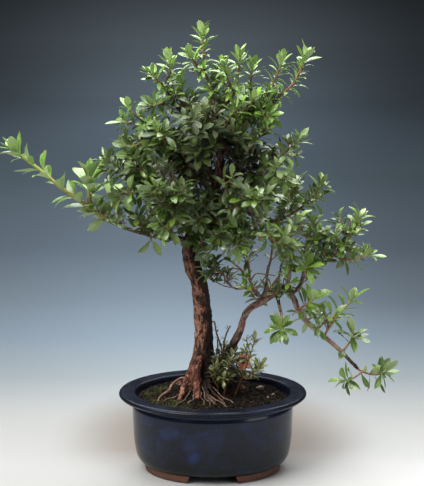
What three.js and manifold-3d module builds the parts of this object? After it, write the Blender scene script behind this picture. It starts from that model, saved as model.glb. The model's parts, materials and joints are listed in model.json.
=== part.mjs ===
// A satsuki azalea bonsai in an oval glazed pot, in millimetres, +Z up.
// The plant and the pot are laid out about the pot's centre, with the feet on z = 0.
// At the end the whole model is moved so that its origin is under the middle of its box.

import * as THREE from 'three';
import { mergeVertices } from 'three/addons/utils/BufferGeometryUtils.js';
import Module from 'manifold-3d';

const wasm = await Module();
wasm.setup();

// ---------------------------------------------------------------- driving dimensions

const GAP = 0.3;                  // clearance between pieces that rest on each other
const RIM_HALF = [102.5, 79.9];   // half width and half depth of the pot over its rim
const POT_HEIGHT = 87.7;          // to the top of the rim
const LIP_WIDTH = 18.6;           // flat top of the rim
const LIP_THICK = 6.5;
const BELLY_HALF = [87.0, 65.2];  // half width and half depth of the wall
const FOOT_HALF = [75.5, 56.0];   // half width and half depth of the foot ring
const FOOT_HEIGHT = 7.0;
const FOOT_WIDTH = 9.0;           // of the ring, measured inwards
const FOOT_NOTCH = [50, 26];      // gap between the feet: front and back, sides
const POT_SIDES = 34;
const FLOOR_TOP = 13.0;           // inside of the pot's floor
const DRAIN_X = 30.0;             // drain holes stand this far either side of the middle
const DRAIN_RADIUS = 8.5;
const SCREEN_SIZE = [30, 26, 1.2];
const SCREEN_MESH = [7.4, 4.6];   // pitch and side of its square openings
const SOIL_EDGE = 80.5;           // soil height at the pot's wall
const SOIL_MOUND = 4.0;           // extra height under the trunk
const SOIL_CENTRE = [-9, 16];     // top of the mound

const STEM_RADIUS = 1.5;
const TIP_RADIUS = 0.95;
const LEAF_THICK = 1.2;           // at the midrib
const TWIG_SIDES = 4;
const GOLDEN = THREE.MathUtils.degToRad(137.5);

// How leaves grow along a shoot.
const GROWTH = {
  reach: 0.72,                    // share of the shoot that bears leaves
  crowding: 1.35,                 // above 1, leaves crowd towards the tip
  spread: [74, 26],               // degrees between leaf and stem, low down and at the tip
  wobble: 14,                     // degrees of chance in that angle
  size: [0.86, 1.14],             // smallest and largest, against the shoot's leaf length
  rise: 0.12,                     // how far leaves lift to the light
  facing: [0.75, 0.6],            // how far the upper side looks along the stem, and up
  tries: 7,                       // a leaf with no room tries again,
  turn: 0.9,                      // turned this far round the stem, in radians,
  shrink: 0.95,                   // and this much shorter
};

// Radii of the room kept round points of leaves and stems of different sprays, and of one spray.
const CLEAR = { leaf: 1.9, stem: 1.7, own: 1.1 };

const COLOURS = {
  glaze: 0x151b2b,
  soil: 0x2a241d,
  bark: 0x6b3f2b,
  leaf: 0x4f7a2e,
  young_leaf: 0x86a53f,
  bloom: 0xd9694f,
  screen: 0x1d1f20,
};

// ---------------------------------------------------------------- solids

const v3 = (p) => new THREE.Vector3(...p);

/** A closed geometry as a solid that can be joined and cut. */
function solidOf(geometry) {
  const bare = geometry.clone();
  bare.deleteAttribute('normal');
  bare.deleteAttribute('uv');
  const merged = mergeVertices(bare, 1e-4);
  const index = Array.from(merged.index.array);
  const faces = [];
  for (let i = 0; i < index.length; i += 3) {
    const [a, b, c] = index.slice(i, i + 3);
    if (a !== b && b !== c && a !== c) faces.push(a, b, c);
  }
  return new wasm.Manifold(new wasm.Mesh({
    numProp: 3,
    vertProperties: new Float32Array(merged.attributes.position.array),
    triVerts: new Uint32Array(faces),
  }));
}

/** A solid's largest body, as a geometry. */
function geometryOf(solid) {
  const bodies = solid.decompose();
  let body = bodies[0];
  for (const other of bodies) {
    if (other.volume() > body.volume()) body = other;
  }
  const mesh = body.getMesh();
  const geometry = new THREE.BufferGeometry();
  geometry.setAttribute('position', new THREE.BufferAttribute(mesh.vertProperties, 3));
  geometry.setIndex(new THREE.BufferAttribute(mesh.triVerts, 1));
  geometry.computeVertexNormals();
  return geometry;
}

const join = (solids) => solids.reduce((whole, solid) => whole.add(solid));

/** Moves each vertex of a geometry with a function of its position and its number. */
function reshape(geometry, move) {
  const place = geometry.attributes.position;
  const point = new THREE.Vector3();
  for (let i = 0; i < place.count; i += 1) {
    point.fromBufferAttribute(place, i);
    move(point, i);
    place.setXYZ(i, point.x, point.y, point.z);
  }
  return geometry;
}

/** Repeatable random numbers from 0 to 1. */
function dice(seed) {
  let state = (seed * 2654435761 + 97) % 4294967296;
  return () => {
    state = (Math.imul(state, 1664525) + 1013904223) >>> 0;
    return state / 4294967296;
  };
}

// ---------------------------------------------------------------- wood

/** A smooth line through hand-set points, with a frame that never flips. */
class Line {
  constructor(points) {
    this.curve = new THREE.CatmullRomCurve3(points.map(v3), false, 'centripetal');
    this.length = this.curve.getLength();
  }

  at(t) {
    const point = this.curve.getPoint(t);
    const along = this.curve.getTangent(t);
    const guide = Math.abs(along.z) < 0.9 ? new THREE.Vector3(0, 0, 1) : new THREE.Vector3(1, 0, 0);
    const side = new THREE.Vector3().crossVectors(guide, along).normalize();
    const up = new THREE.Vector3().crossVectors(along, side);
    return { point, along, side, up };
  }
}

/** The value at t, from 0 to 1, of evenly spread values. */
function between(values, t) {
  const step = t * (values.length - 1);
  const low = Math.min(Math.floor(step), values.length - 2);
  return values[low] + (values[low + 1] - values[low]) * (step - low);
}

/** A closed, tapering rod along hand-set points. */
function rod(points, radii, sides, rings, grow = 0) {
  const line = new Line(points);
  const profile = [new THREE.Vector2(0, 0)];
  for (let i = 0; i <= rings; i += 1) profile.push(new THREE.Vector2(1, i));
  profile.push(new THREE.Vector2(0, rings));
  const geometry = new THREE.LatheGeometry(profile, sides);
  let last = line.at(0);
  const frames = [];
  for (let i = 0; i <= rings; i += 1) {
    const frame = line.at(i / rings);
    const turn = last.side.clone().addScaledVector(frame.along, -last.side.dot(frame.along));
    frame.side = turn.normalize();
    frame.up = new THREE.Vector3().crossVectors(frame.along, frame.side);
    frames.push(frame);
    last = frame;
  }
  reshape(geometry, (p) => {
    const ring = Math.round(p.y);
    const radius = between(radii, ring / rings) + grow;
    const frame = frames[ring];
    const end = (ring === 0 ? -grow : 0) + (ring === rings ? grow : 0);
    const [across, over] = [p.x * radius, p.z * radius];
    p.copy(frame.point).addScaledVector(frame.side, across);
    p.addScaledVector(frame.up, over).addScaledVector(frame.along, end);
  });
  const solid = solidOf(geometry);
  if (solid.volume() > 0) return solid;
  geometry.index.array.reverse();
  return solidOf(geometry);
}

// Each limb: way points, radii spread evenly from its start to its end, sides and rings.
const LIMBS = {
  trunk: [[[-12, 20, 56], [-11, 20, 70], [-10, 22, 85], [-10, 22, 108], [-10, 20, 133], [-10, 18, 153],
    [-11, 15, 170], [-12, 12, 186], [-15, 9, 206], [-22, 7, 226], [-25, 6, 242], [-23, 5, 256],
    [-17, 4, 274], [-7, 2, 293], [2, 0, 311], [8, -2, 331], [8, -3, 350], [7, -3, 367],
    [3, -3, 384], [0, -3, 400]],
  [15, 17, 17.5, 14.5, 10.4, 9.8, 9.6, 9.1, 8.8, 8.6, 7.9, 7.3, 7, 6.3, 5.6, 4.5, 3.9, 3.5, 3.1, 2.6], 9, 24],
  second: [[[-4, 20, 97], [6, 19, 109], [16, 18, 123], [24, 16, 138], [30, 14, 152], [34, 12, 167],
    [40, 9, 177], [52, 6, 186], [63, 3, 195], [73, 1, 201], [84, -1, 202]],
  [8, 6.5, 5, 4.5, 3.9, 3.6, 3.7, 4.2, 4.8, 4.9, 4.4], 6, 14],
  cascade: [[[79, 0, 201], [86, -4, 194], [92, -8, 179], [100, -12, 169], [111, -16, 160],
    [125, -20, 149], [138, -24, 138], [148, -28, 128], [155, -30, 121]],
  [3.4, 3.2, 3, 2.8, 2.6, 2.4, 2.2, 2, 1.8], 5, 10],
  upright: [[[84, -2, 198], [92, -2, 203], [97, 0, 216], [99, 2, 225], [110, 4, 228], [124, 6, 231]],
    [2.6, 2.4, 2.2, 2, 1.8], 5, 7],
  mid_up: [[[80, 0, 202], [82, -10, 223], [83, -18, 243], [82, -22, 260]], [2.4, 2, 1.6], 5, 4],
  spur_up: [[[53, 6, 189], [46, 4, 199], [40, 2, 211], [39, 0, 221]], [2.2, 1.8, 1.5], 5, 4],
  spur_left: [[[48, 5, 193], [37, 0, 202], [24, -4, 203], [16, -6, 210], [11, -8, 221]],
    [1.8, 1.5, 1.3], 5, 5],
  thin_a: [[[52, 6, 188], [57, 10, 200], [59, 14, 213], [62, 18, 227]], [1.9, 1.6, 1.3], 5, 4],
  thin_b: [[[63, 3, 195], [70, 16, 205], [74, 28, 216], [77, 36, 227]], [1.9, 1.6, 1.3], 5, 4],
  drop: [[[69, 2, 198], [71, -4, 186], [74, -12, 175], [75, -20, 162]], [2.4, 1.9, 1.4], 5, 4],
  left_low: [[[-26, 5, 246], [-35, -2, 256], [-50, -9, 259], [-66, -15, 264], [-87, -22, 271],
    [-107, -28, 281]],
    [3, 2.5, 2.2, 2, 1.8], 5, 9],
  stub: [[[-23, 6, 250], [-33, 1, 256], [-41, -3, 259]], [3.6, 3, 2.4], 6, 2],
  left_mid: [[[-17, 4, 274], [-34, -8, 294], [-55, -20, 311], [-75, -30, 323]], [3.2, 2.5, 1.8], 5, 5],
  left_back: [[[-15, 4, 278], [-33, 22, 300], [-55, 38, 322]], [3, 2.4, 1.8], 5, 4],
  left_up: [[[-1, 1, 306], [-18, -6, 329], [-36, -12, 350], [-52, -14, 367], [-63, -15, 376]],
    [3, 2.6, 2.1, 1.7], 5, 6],
  right_mid: [[[7, -1, 320], [20, -5, 327], [36, -9, 333], [52, -12, 338]], [3.4, 2.8, 2], 5, 4],
  right_low: [[[-9, 3, 289], [3, -8, 283], [20, -18, 276], [35, -24, 274], [49, -28, 270]],
    [2.8, 2.3, 1.8], 5, 5],
  right_out: [[[2, 0, 309], [25, 8, 292], [47, 14, 278], [67, 18, 272], [80, 18, 277]],
    [3, 2.6, 2.1, 1.7], 5, 7],
  crown_right: [[[8, -3, 350], [17, 0, 367], [28, 2, 381], [39, 4, 393]], [3, 2.5, 2], 5, 4],
  crown_left: [[[6, -3, 374], [-8, -2, 382], [-24, 0, 390], [-37, 2, 396]], [2.6, 2.2, 1.8], 5, 4],
  front_up: [[[9, -2, 342], [5, -25, 356], [-1, -45, 368]], [2.6, 2.2, 1.7], 5, 4],
  back_up: [[[8, -2, 344], [14, 25, 352], [23, 48, 361]], [2.6, 2.2, 1.7], 5, 4],
  back_left: [[[5, 0, 316], [-6, 28, 324], [-18, 50, 330]], [2.9, 2.3, 1.7], 5, 4],
  back_right: [[[7, -1, 322], [25, 25, 316], [43, 46, 308]], [2.9, 2.3, 1.7], 5, 4],
  front_right: [[[-3, 2, 300], [8, -22, 304], [19, -42, 304]], [2.7, 2.2, 1.7], 5, 4],
  front_left: [[[-18, 4, 272], [-28, -20, 282], [-37, -40, 292]], [2.7, 2.2, 1.7], 5, 4],
};

const ROOTS = {
  bulge: [[[-14, 12, 125], [-18, 9, 115], [-20, 6, 104], [-19, 4, 93]], [4.5, 7.4, 7.6, 5], 7, 3],
  root_a: [[[-20, 10, 113], [-26, 6, 103], [-30, 1, 95], [-33, -6, 88], [-36, -14, 82], [-39, -21, 76]],
    [4.8, 4.2, 3.1, 2.8, 2.4, 1.6], 5, 6],
  root_b: [[[-17, 6, 105], [-17, 2, 96], [-17, -5, 88], [-17, -13, 82], [-16, -20, 76]],
    [5.4, 4.6, 4.2, 3.3, 2.2], 5, 4],
  root_c: [[[-20, 17, 96], [-36, 17, 95], [-45, 10, 90], [-48, 2, 86], [-56, -6, 83], [-60, -22, 80],
    [-61, -30, 76]], [1.8, 1.6, 1.4, 1.3, 1.2], 5, 8],
  root_d: [[[-9, 8, 96], [-8, -4, 89], [-4, -16, 84], [1, -26, 81], [4, -34, 76]],
    [3, 2.3, 2, 1.7, 1.2], 5, 5],
  root_e: [[[-4, 6, 97], [-2, -6, 90], [5, -16, 86], [11, -24, 82], [15, -32, 76]],
    [2.4, 1.7, 1.4, 1.2, 1], 5, 6],
  root_f: [[[0, 20, 102], [14, 22, 93], [26, 22, 85], [38, 26, 78]], [7.5, 6.5, 4.5, 3], 5, 4],
  root_g: [[[-10, 26, 100], [-14, 42, 88], [-20, 54, 77]], [7, 4.5, 2.8], 5, 4],
  root_h: [[[1, 14, 108], [11, 9, 98], [22, 3, 84]], [9, 7.4, 4], 6, 3],
  root_i: [[[-16, 24, 98], [-32, 34, 87], [-44, 44, 77]], [5.5, 3.8, 2.2], 5, 4],
};

const rodsOf = (list, grow) => Object.values(list).map(([way, radii, sides, rings]) => (
  rod(way, radii, sides, rings, grow)));

function wood(grow) {
  return join([...rodsOf(LIMBS, grow), ...rodsOf(ROOTS, grow)]);
}

// ---------------------------------------------------------------- leaves and shoots

// Rim of a leaf of length 1, from its foot round its tip: distance from the foot, and half width.
const LEAF_RIM = [[0, 0], [0.36, -0.155], [0.7, -0.195], [1, 0], [0.7, 0.195], [0.36, 0.155]];
const LEAF_ROOT = 0.4;            // how far from the stem's middle a leaf's foot lies
const LEAF_HUB = 0.4;             // where the blade is thickest
const LEAF_ARCH = 0.16;
const LEAF_KEEL = 0.035;          // depth of the fold along the midrib

/** Height of a leaf's arch, as a share of its length. */
const archAt = (run) => LEAF_ARCH * run * (0.9 - 1.5 * run);

/** A blade with a pointed tip, arched along its length and folded along its midrib. */
function blade(leaf) {
  const { foot, along, across, normal, length } = leaf;
  const lens = new THREE.SphereGeometry(1, LEAF_RIM.length, 2);
  return solidOf(reshape(lens, (p) => {
    const pole = Math.abs(p.y) > 0.5;
    const turn = Math.round(Math.atan2(p.z, -p.x) / (2 * Math.PI) * LEAF_RIM.length);
    const [run, over] = pole ? [LEAF_HUB, 0] : LEAF_RIM[(turn + LEAF_RIM.length) % LEAF_RIM.length];
    const lift = pole ? Math.sign(p.y) * LEAF_THICK / 2 - LEAF_KEEL * length : 0;
    p.copy(foot).addScaledVector(along, run * length);
    p.addScaledVector(across, over * length).addScaledVector(normal, archAt(run) * length + lift);
  }));
}

/** Points spread over a leaf, to keep it clear of other things. */
function feelers(leaf) {
  const points = [];
  for (const [run, over] of [[0.3, 0], [0.45, 1], [0.45, -1], [0.55, 0], [0.75, 1], [0.75, -1],
    [0.8, 0], [1, 0]]) {
    const point = leaf.foot.clone().addScaledVector(leaf.along, run * leaf.length);
    point.addScaledVector(leaf.across, over * 0.16 * leaf.length);
    points.push(point.addScaledVector(leaf.normal, archAt(run) * leaf.length));
  }
  return points;
}

// Each spray: shoots that grow from one another. The first starts inside a limb.
// A shoot has way points, a number of leaves and the length of a leaf.
const SPRAYS = {
  leader: [
    [[[-1, -3, 397], [-2, -3, 415], [-8, -4, 436], [-10, -4, 459], [-11, -4, 473]], 6, 18],
    [[[-2, -3, 413], [6, 6, 425], [10, 10, 439]], 3, 17],
    [[[-7, -4, 432], [-17, -12, 443], [-23, -16, 452]], 3, 17],
  ],
  crown_nw: [
    [[[-36, 2, 395], [-45, 0, 410], [-49, -2, 421], [-44, -2, 434], [-45, -2, 446]], 5, 18],
    [[[-47, -1, 417], [-57, -8, 426], [-63, -10, 433]], 3, 17],
    [[[-40, 1, 402], [-55, -12, 402], [-65, -18, 401]], 3, 18],
  ],
  crown_back: [[[[-24, 0, 390], [-30, 22, 404], [-37, 34, 420]], 4, 19]],
  crown_w: [
    [[[-62, -15, 375], [-70, -18, 384], [-79, -20, 390], [-87, -20, 399]], 4, 19],
    [[[-69, -18, 383], [-81, -26, 383], [-91, -30, 386]], 3, 19],
  ],
  crown_n: [
    [[[3, -3, 388], [14, -6, 401], [23, -8, 414], [26, -8, 430], [28, -8, 451]], 5, 17],
    [[[22, -8, 412], [16, -20, 428], [12, -26, 440]], 3, 17],
  ],
  crown_e: [
    [[[38, 4, 392], [52, 4, 402], [60, 4, 415], [66, 4, 428], [72, 4, 444]], 5, 18],
    [[[44, 4, 396], [40, 12, 410], [40, 14, 424], [42, 14, 438]], 4, 17],
  ],
  crown_far: [
    [[[37, 3, 391], [58, -4, 398], [71, -8, 411], [84, -10, 424], [91, -10, 437], [96, -10, 451]], 7, 18],
    [[[46, 0, 394], [50, -12, 391], [58, -24, 391]], 3, 19],
  ],
  front_up_a: [
    [[[-1, -45, 368], [-8, -60, 378], [-17, -74, 387], [-26, -82, 395]], 4, 20],
    [[[-4, -52, 373], [-3, -56, 386], [-7, -60, 400]], 3, 19],
  ],
  front_up_b: [[[[5, -25, 356], [16, -36, 364], [28, -46, 373]], 3, 20]],
  front_up_c: [[[[1, -36, 363], [-9, -54, 360], [-17, -66, 356]], 3, 21]],
  back_up_a: [
    [[[23, 48, 361], [30, 64, 369], [43, 76, 378], [54, 84, 386]], 4, 20],
    [[[24, 52, 363], [26, 56, 381], [31, 58, 398]], 3, 19],
  ],
  back_up_b: [[[[16, 32, 354], [4, 44, 371], [-7, 52, 388]], 4, 20]],
  left_up_a: [[[[-51, -14, 366], [-65, -26, 366], [-77, -34, 363], [-88, -38, 359]], 4, 20]],
  left_up_b: [[[[-36, -12, 350], [-44, -32, 359], [-50, -46, 369], [-55, -54, 379]], 4, 20]],
  left_up_c: [[[[-18, -6, 329], [-26, -28, 342], [-32, -44, 357]], 4, 20]],
  left_mid_a: [
    [[[-75, -30, 323], [-89, -35, 333], [-99, -38, 339], [-109, -40, 346]], 4, 20],
    [[[-79, -31, 326], [-86, -42, 317], [-95, -50, 308]], 3, 20],
  ],
  left_mid_b: [[[[-55, -20, 311], [-65, -38, 327], [-72, -48, 341], [-78, -50, 351]], 4, 20]],
  left_back_a: [
    [[[-55, 38, 322], [-71, 46, 337], [-86, 56, 343], [-99, 60, 351]], 4, 20],
    [[[-60, 41, 327], [-73, 56, 321], [-86, 66, 315]], 3, 20],
  ],
  left_back_b: [[[[-33, 22, 300], [-51, 44, 292], [-67, 58, 285]], 4, 21]],
  long_left: [
    [[[-107, -28, 281], [-121, -32, 291], [-137, -36, 304], [-157, -38, 319], [-177, -38, 337],
      [-194, -36, 349], [-205, -36, 358]], 9, 20],
    [[[-129, -34, 298], [-128, -40, 314], [-127, -42, 327]], 3, 20],
    [[[-113, -29, 285], [-108, -12, 290], [-105, 2, 298]], 3, 20],
  ],
  left_low_a: [
    [[[-64, -15, 263], [-72, -28, 276], [-79, -36, 286]], 4, 20],
    [[[-67, -20, 268], [-65, -21, 263], [-64, -22, 259]], 2, 21],
  ],
  left_low_b: [[[[-49, -9, 259], [-59, 10, 262], [-70, 24, 265]], 3, 20]],
  front_left: [
    [[[-37, -40, 292], [-43, -54, 299], [-53, -66, 311], [-63, -74, 321]], 4, 21],
    [[[-40, -47, 296], [-33, -62, 310], [-31, -70, 322]], 3, 20],
    [[[-39, -45, 294], [-42, -58, 284], [-48, -64, 276]], 3, 21],
  ],
  back_left_a: [
    [[[-18, 50, 330], [-28, 67, 334], [-43, 80, 340], [-56, 88, 343]], 4, 21],
    [[[-21, 56, 332], [-27, 60, 350], [-30, 64, 366]], 3, 20],
  ],
  back_left_b: [[[[-7, 30, 324], [-20, 50, 309], [-32, 62, 298]], 4, 21]],
  back_right_a: [
    [[[43, 46, 308], [56, 58, 300], [74, 70, 297], [88, 76, 291]], 4, 21],
    [[[47, 50, 306], [56, 60, 319], [64, 64, 333]], 3, 20],
  ],
  back_right_b: [[[[25, 25, 316], [30, 40, 333], [34, 48, 347]], 4, 20]],
  right_a: [
    [[[52, -12, 338], [65, -12, 345], [80, -12, 354], [90, -12, 364]], 4, 20],
    [[[56, -12, 340], [64, -28, 334], [74, -38, 328]], 3, 20],
  ],
  right_b: [[[[36, -9, 333], [39, -20, 350], [43, -26, 364], [48, -28, 376]], 4, 19]],
  east_a: [
    [[[80, 18, 277], [97, 18, 289], [107, 18, 298], [116, 18, 311]], 5, 19],
    [[[85, 18, 281], [83, 12, 295], [84, 8, 306], [87, 6, 316]], 4, 19],
  ],
  east_b: [[[[47, 14, 278], [53, 30, 288], [58, 42, 301]], 4, 20]],
  east_c: [[[[25, 8, 292], [35, -10, 305], [43, -20, 315]], 3, 20]],
  low_a: [[[[49, -28, 270], [62, -36, 263], [74, -40, 258]], 4, 21]],
  low_b: [[[[20, -18, 276], [24, -32, 266], [26, -38, 255]], 3, 21]],
  front_right: [
    [[[19, -42, 304], [28, -57, 303], [40, -68, 310], [51, -76, 316]], 4, 21],
    [[[21, -46, 304], [15, -60, 320], [11, -70, 332]], 3, 20],
  ],
  spur_a: [[[[39, 0, 220], [38, -4, 232], [35, -6, 242]], 3, 20]],
  spur_b: [[[[11, -8, 220], [1, -12, 226], [-7, -14, 230]], 4, 19]],
  thin_a: [[[[62, 18, 226], [64, 22, 237], [65, 24, 247]], 3, 20]],
  thin_b: [[[[77, 36, 226], [83, 46, 236], [85, 50, 247]], 4, 20]],
  thin_c: [[[[53, 6, 187], [58, 26, 188], [65, 42, 192]], 3, 20]],
  mid_up: [[[[82, -22, 259], [83, -26, 272], [87, -28, 281]], 3, 20]],
  upright: [[[[99, 2, 225], [102, 4, 239], [103, 4, 254], [106, 4, 274]], 5, 19]],
  whorl: [[[[97, 0, 217], [98, -14, 226], [99, -24, 231]], 4, 26]],
  far_e: [
    [[[123, 6, 231], [136, 4, 243], [146, 0, 257], [152, 0, 268], [156, 0, 279]], 5, 19],
    [[[130, 5, 237], [143, -2, 234], [155, -6, 237], [166, -8, 241]], 4, 19],
  ],
  knob_e: [[[[91, -8, 181], [98, -20, 189], [105, -28, 196]], 4, 23]],
  high_a: [[[[119, -18, 154], [129, -24, 174], [140, -28, 188], [147, -30, 198]], 5, 21]],
  high_b: [[[[138, -24, 138], [145, -30, 150], [149, -34, 161]], 4, 24]],
  high_c: [[[[111, -16, 160], [119, -26, 172], [127, -34, 180]], 3, 21]],
  cascade_back: [[[[100, -12, 169], [108, 8, 168], [117, 22, 169]], 3, 21]],
  cascade_tip: [
    [[[155, -30, 121], [164, -32, 117], [174, -34, 116], [183, -36, 119]], 6, 21],
    [[[160, -31, 119], [150, -38, 114], [140, -40, 111]], 3, 20],
  ],
  rosette: [[[[75, -19, 163], [74, -26, 165], [72, -33, 167]], 5, 21]],
  sucker_a: [
    [[[24, -4, 82], [30, -8, 100], [36, -11, 118], [41, -11, 133], [45, -10, 147]], 4, 12],
    [[[31, -8, 102], [42, -14, 111], [52, -14, 120]], 4, 12],
  ],
  sucker_b: [
    [[[12, -4, 82], [15, -8, 97], [17, -10, 112], [21, -10, 127]], 4, 12],
    [[[15, -8, 97], [8, -14, 108], [4, -16, 119]], 3, 12],
  ],
};

/** Places a spray's leaves along its shoots, clear of all that stands already. */
function growLeaves(name, shoots, seed, taken) {
  const roll = dice(seed);
  const leaves = [];
  for (const [way, count, size] of shoots) {
    const line = new Line(way);
    const phase = roll() * Math.PI * 2;
    for (let i = 0; i < count; i += 1) {
      const back = (count - 1 - i) / count;
      const t = 1 - GROWTH.reach * back ** GROWTH.crowding;
      const { point, along, side, up } = line.at(Math.min(t, 0.999));
      const spread = THREE.MathUtils.lerp(...GROWTH.spread, t ** 1.5) + (roll() - 0.5) * GROWTH.wobble;
      const lean = THREE.MathUtils.degToRad(spread);
      const grown = size * THREE.MathUtils.lerp(...GROWTH.size, roll());
      for (let attempt = 0; attempt < GROWTH.tries; attempt += 1) {
        const around = phase + i * GOLDEN + attempt * GROWTH.turn;
        const out = side.clone().multiplyScalar(Math.cos(around)).addScaledVector(up, Math.sin(around));
        const heading = along.clone().multiplyScalar(Math.cos(lean)).addScaledVector(out, Math.sin(lean));
        heading.z += GROWTH.rise;
        heading.normalize();
        const face = along.clone().multiplyScalar(GROWTH.facing[0]);
        face.z += GROWTH.facing[1];
        face.addScaledVector(heading, -face.dot(heading)).normalize();
        const across = new THREE.Vector3().crossVectors(face, heading);
        const foot = point.clone().addScaledVector(out, LEAF_ROOT);
        const leaf = { foot, along: heading, across, normal: face, length: grown * GROWTH.shrink ** attempt };
        if (isClear(name, leaf, taken, leaves)) {
          leaves.push(leaf);
          break;
        }
      }
    }
  }
  for (const leaf of leaves) {
    for (const point of feelers(leaf)) taken.push([point, CLEAR.leaf, name]);
  }
  return leaves;
}

function isClear(name, leaf, taken, own) {
  const points = feelers(leaf);
  for (const [place, radius, owner] of taken) {
    if (owner === name) continue;
    if (place.distanceTo(leaf.foot) > leaf.length + radius + 8) continue;
    for (const point of points) {
      if (point.distanceTo(place) < radius + CLEAR.leaf) return false;
    }
  }
  for (const other of own) {
    for (const place of feelers(other)) {
      for (const point of points) {
        if (point.distanceTo(place) < 2 * CLEAR.own) return false;
      }
    }
  }
  return true;
}

/** Marks the space along a line as taken. */
function claim(way, radii, name, taken) {
  const line = new Line(way);
  const steps = Math.ceil(line.length / 3);
  for (let i = 0; i <= steps; i += 1) {
    taken.push([line.curve.getPoint(i / steps), between(radii, i / steps), name]);
  }
}

function buildSpray(name, shoots, leaves) {
  const parts = [];
  shoots.forEach(([way], number) => {
    const start = number === 0 ? STEM_RADIUS : 0.8 * STEM_RADIUS;
    parts.push(rod(way, [start, TIP_RADIUS], TWIG_SIDES, Math.max(2, way.length - 1)));
  });
  for (const leaf of leaves) parts.push(blade(leaf));
  return join(parts);
}

// ---------------------------------------------------------------- pot, soil and screens

/** A closed body of oval sections; each profile point is [half width, half depth, height]. */
function ovalBody(profile, segments, heightAt = (x, y, z) => z) {
  const geometry = new THREE.LatheGeometry(profile.map(([x, , z]) => new THREE.Vector2(x, z)), segments);
  reshape(geometry, (p, i) => {
    const [halfWidth, halfDepth, height] = profile[i % profile.length];
    const ratio = halfWidth > 0 ? halfDepth / halfWidth : 1;
    const y = -p.z * ratio;
    p.set(p.x, y, heightAt(p.x, y, height));
  });
  const solid = solidOf(geometry);
  if (solid.volume() > 0) return solid;
  geometry.index.array.reverse();
  return solidOf(geometry);
}

/** Half sizes of the pot's oval, moved in from the rim by an even distance. */
const rimInset = (inset) => [RIM_HALF[0] - inset, RIM_HALF[1] - inset];

function potSolid() {
  const [bellyX, bellyY] = BELLY_HALF;
  const [footX, footY] = FOOT_HALF;
  const top = POT_HEIGHT;
  const under = POT_HEIGHT - LIP_THICK;
  const wall = ovalBody([
    [0, 0, FOOT_HEIGHT],
    [footX - 1, footY - 1, FOOT_HEIGHT],
    [footX + 4.5, footY + 4.5, FOOT_HEIGHT + 3],
    [bellyX - 3.2, bellyY - 3.2, FOOT_HEIGHT + 10],
    [bellyX - 0.6, bellyY - 0.6, FOOT_HEIGHT + 26],
    [bellyX + 0.8, bellyY + 0.6, under - 9],
    [bellyX - 0.8, bellyY - 0.8, under - 6],
    [bellyX - 0.4, bellyY - 0.4, under - 1],
    [...rimInset(4), under - 0.5],
    [...rimInset(0), under + 3.4],
    [...rimInset(1), top - 0.9],
    [...rimInset(3.2), top],
    [...rimInset(LIP_WIDTH - 1.5), top - 0.4],
    [...rimInset(LIP_WIDTH), top - 2],
    [...rimInset(LIP_WIDTH + 1.6), top - 9],
    [bellyX - 9.5, bellyY - 9.5, FLOOR_TOP + 8],
    [bellyX - 15, bellyY - 15, FLOOR_TOP],
    [0, 0, FLOOR_TOP],
  ], POT_SIDES);
  const ring = ovalBody([
    [footX - FOOT_WIDTH, footY - FOOT_WIDTH, 0],
    [footX - 1.2, footY - 1.2, 0],
    [footX, footY, 1.2],
    [footX + 1, footY + 1, FOOT_HEIGHT + 1.5],
    [footX - FOOT_WIDTH, footY - FOOT_WIDTH, FOOT_HEIGHT + 1.5],
    [footX - FOOT_WIDTH, footY - FOOT_WIDTH, 0],
  ], POT_SIDES);
  const notch = (across, deep, flare) => {
    const outline = new THREE.Shape();
    outline.moveTo(-across / 2 - flare, -1);
    outline.lineTo(across / 2 + flare, -1);
    outline.lineTo(across / 2, FOOT_HEIGHT);
    outline.lineTo(-across / 2, FOOT_HEIGHT);
    const prism = new THREE.ExtrudeGeometry(outline, { depth: deep, bevelEnabled: false });
    prism.rotateX(Math.PI / 2).translate(0, deep / 2, 0);
    return prism;
  };
  const frontBack = solidOf(notch(FOOT_NOTCH[0], 4 * footY, 2.5));
  const sides = solidOf(notch(FOOT_NOTCH[1], 4 * footX, 2.5).rotateZ(Math.PI / 2));
  const feet = ring.subtract(frontBack).subtract(sides);
  const drain = (x) => {
    const plug = new THREE.CylinderGeometry(DRAIN_RADIUS, DRAIN_RADIUS, 3 * FLOOR_TOP, 20);
    return solidOf(plug.rotateX(Math.PI / 2).translate(x, 0, FLOOR_TOP));
  };
  return wall.add(feet).subtract(drain(-DRAIN_X)).subtract(drain(DRAIN_X));
}

/** A drainage screen: a thin plate with square openings in rows. */
function screenSolid(x) {
  const [wide, deep, thick] = SCREEN_SIZE;
  const [pitch, open] = SCREEN_MESH;
  const middle = [x, 0, FLOOR_TOP + GAP + thick / 2];
  let screen = solidOf(new THREE.BoxGeometry(wide, deep, thick).translate(...middle));
  for (const column of [-1, 0, 1]) {
    for (const row of [-1, 0, 1]) {
      const opening = new THREE.BoxGeometry(open, open, 3 * thick).translate(...middle);
      screen = screen.subtract(solidOf(opening.translate(column * pitch, row * pitch, 0)));
    }
  }
  return screen;
}

/** Height of the soil over a point of the pot. */
function soilHeight(x, y) {
  const dx = (x - SOIL_CENTRE[0]) / 55;
  const dy = (y - SOIL_CENTRE[1]) / 42;
  const ripple = 0.7 * Math.sin(x * 0.19 + 1) * Math.cos(y * 0.23) + 0.5 * Math.sin(x * 0.09 - y * 0.13);
  return SOIL_EDGE + SOIL_MOUND * Math.exp(-(dx * dx + dy * dy)) + ripple;
}

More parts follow.
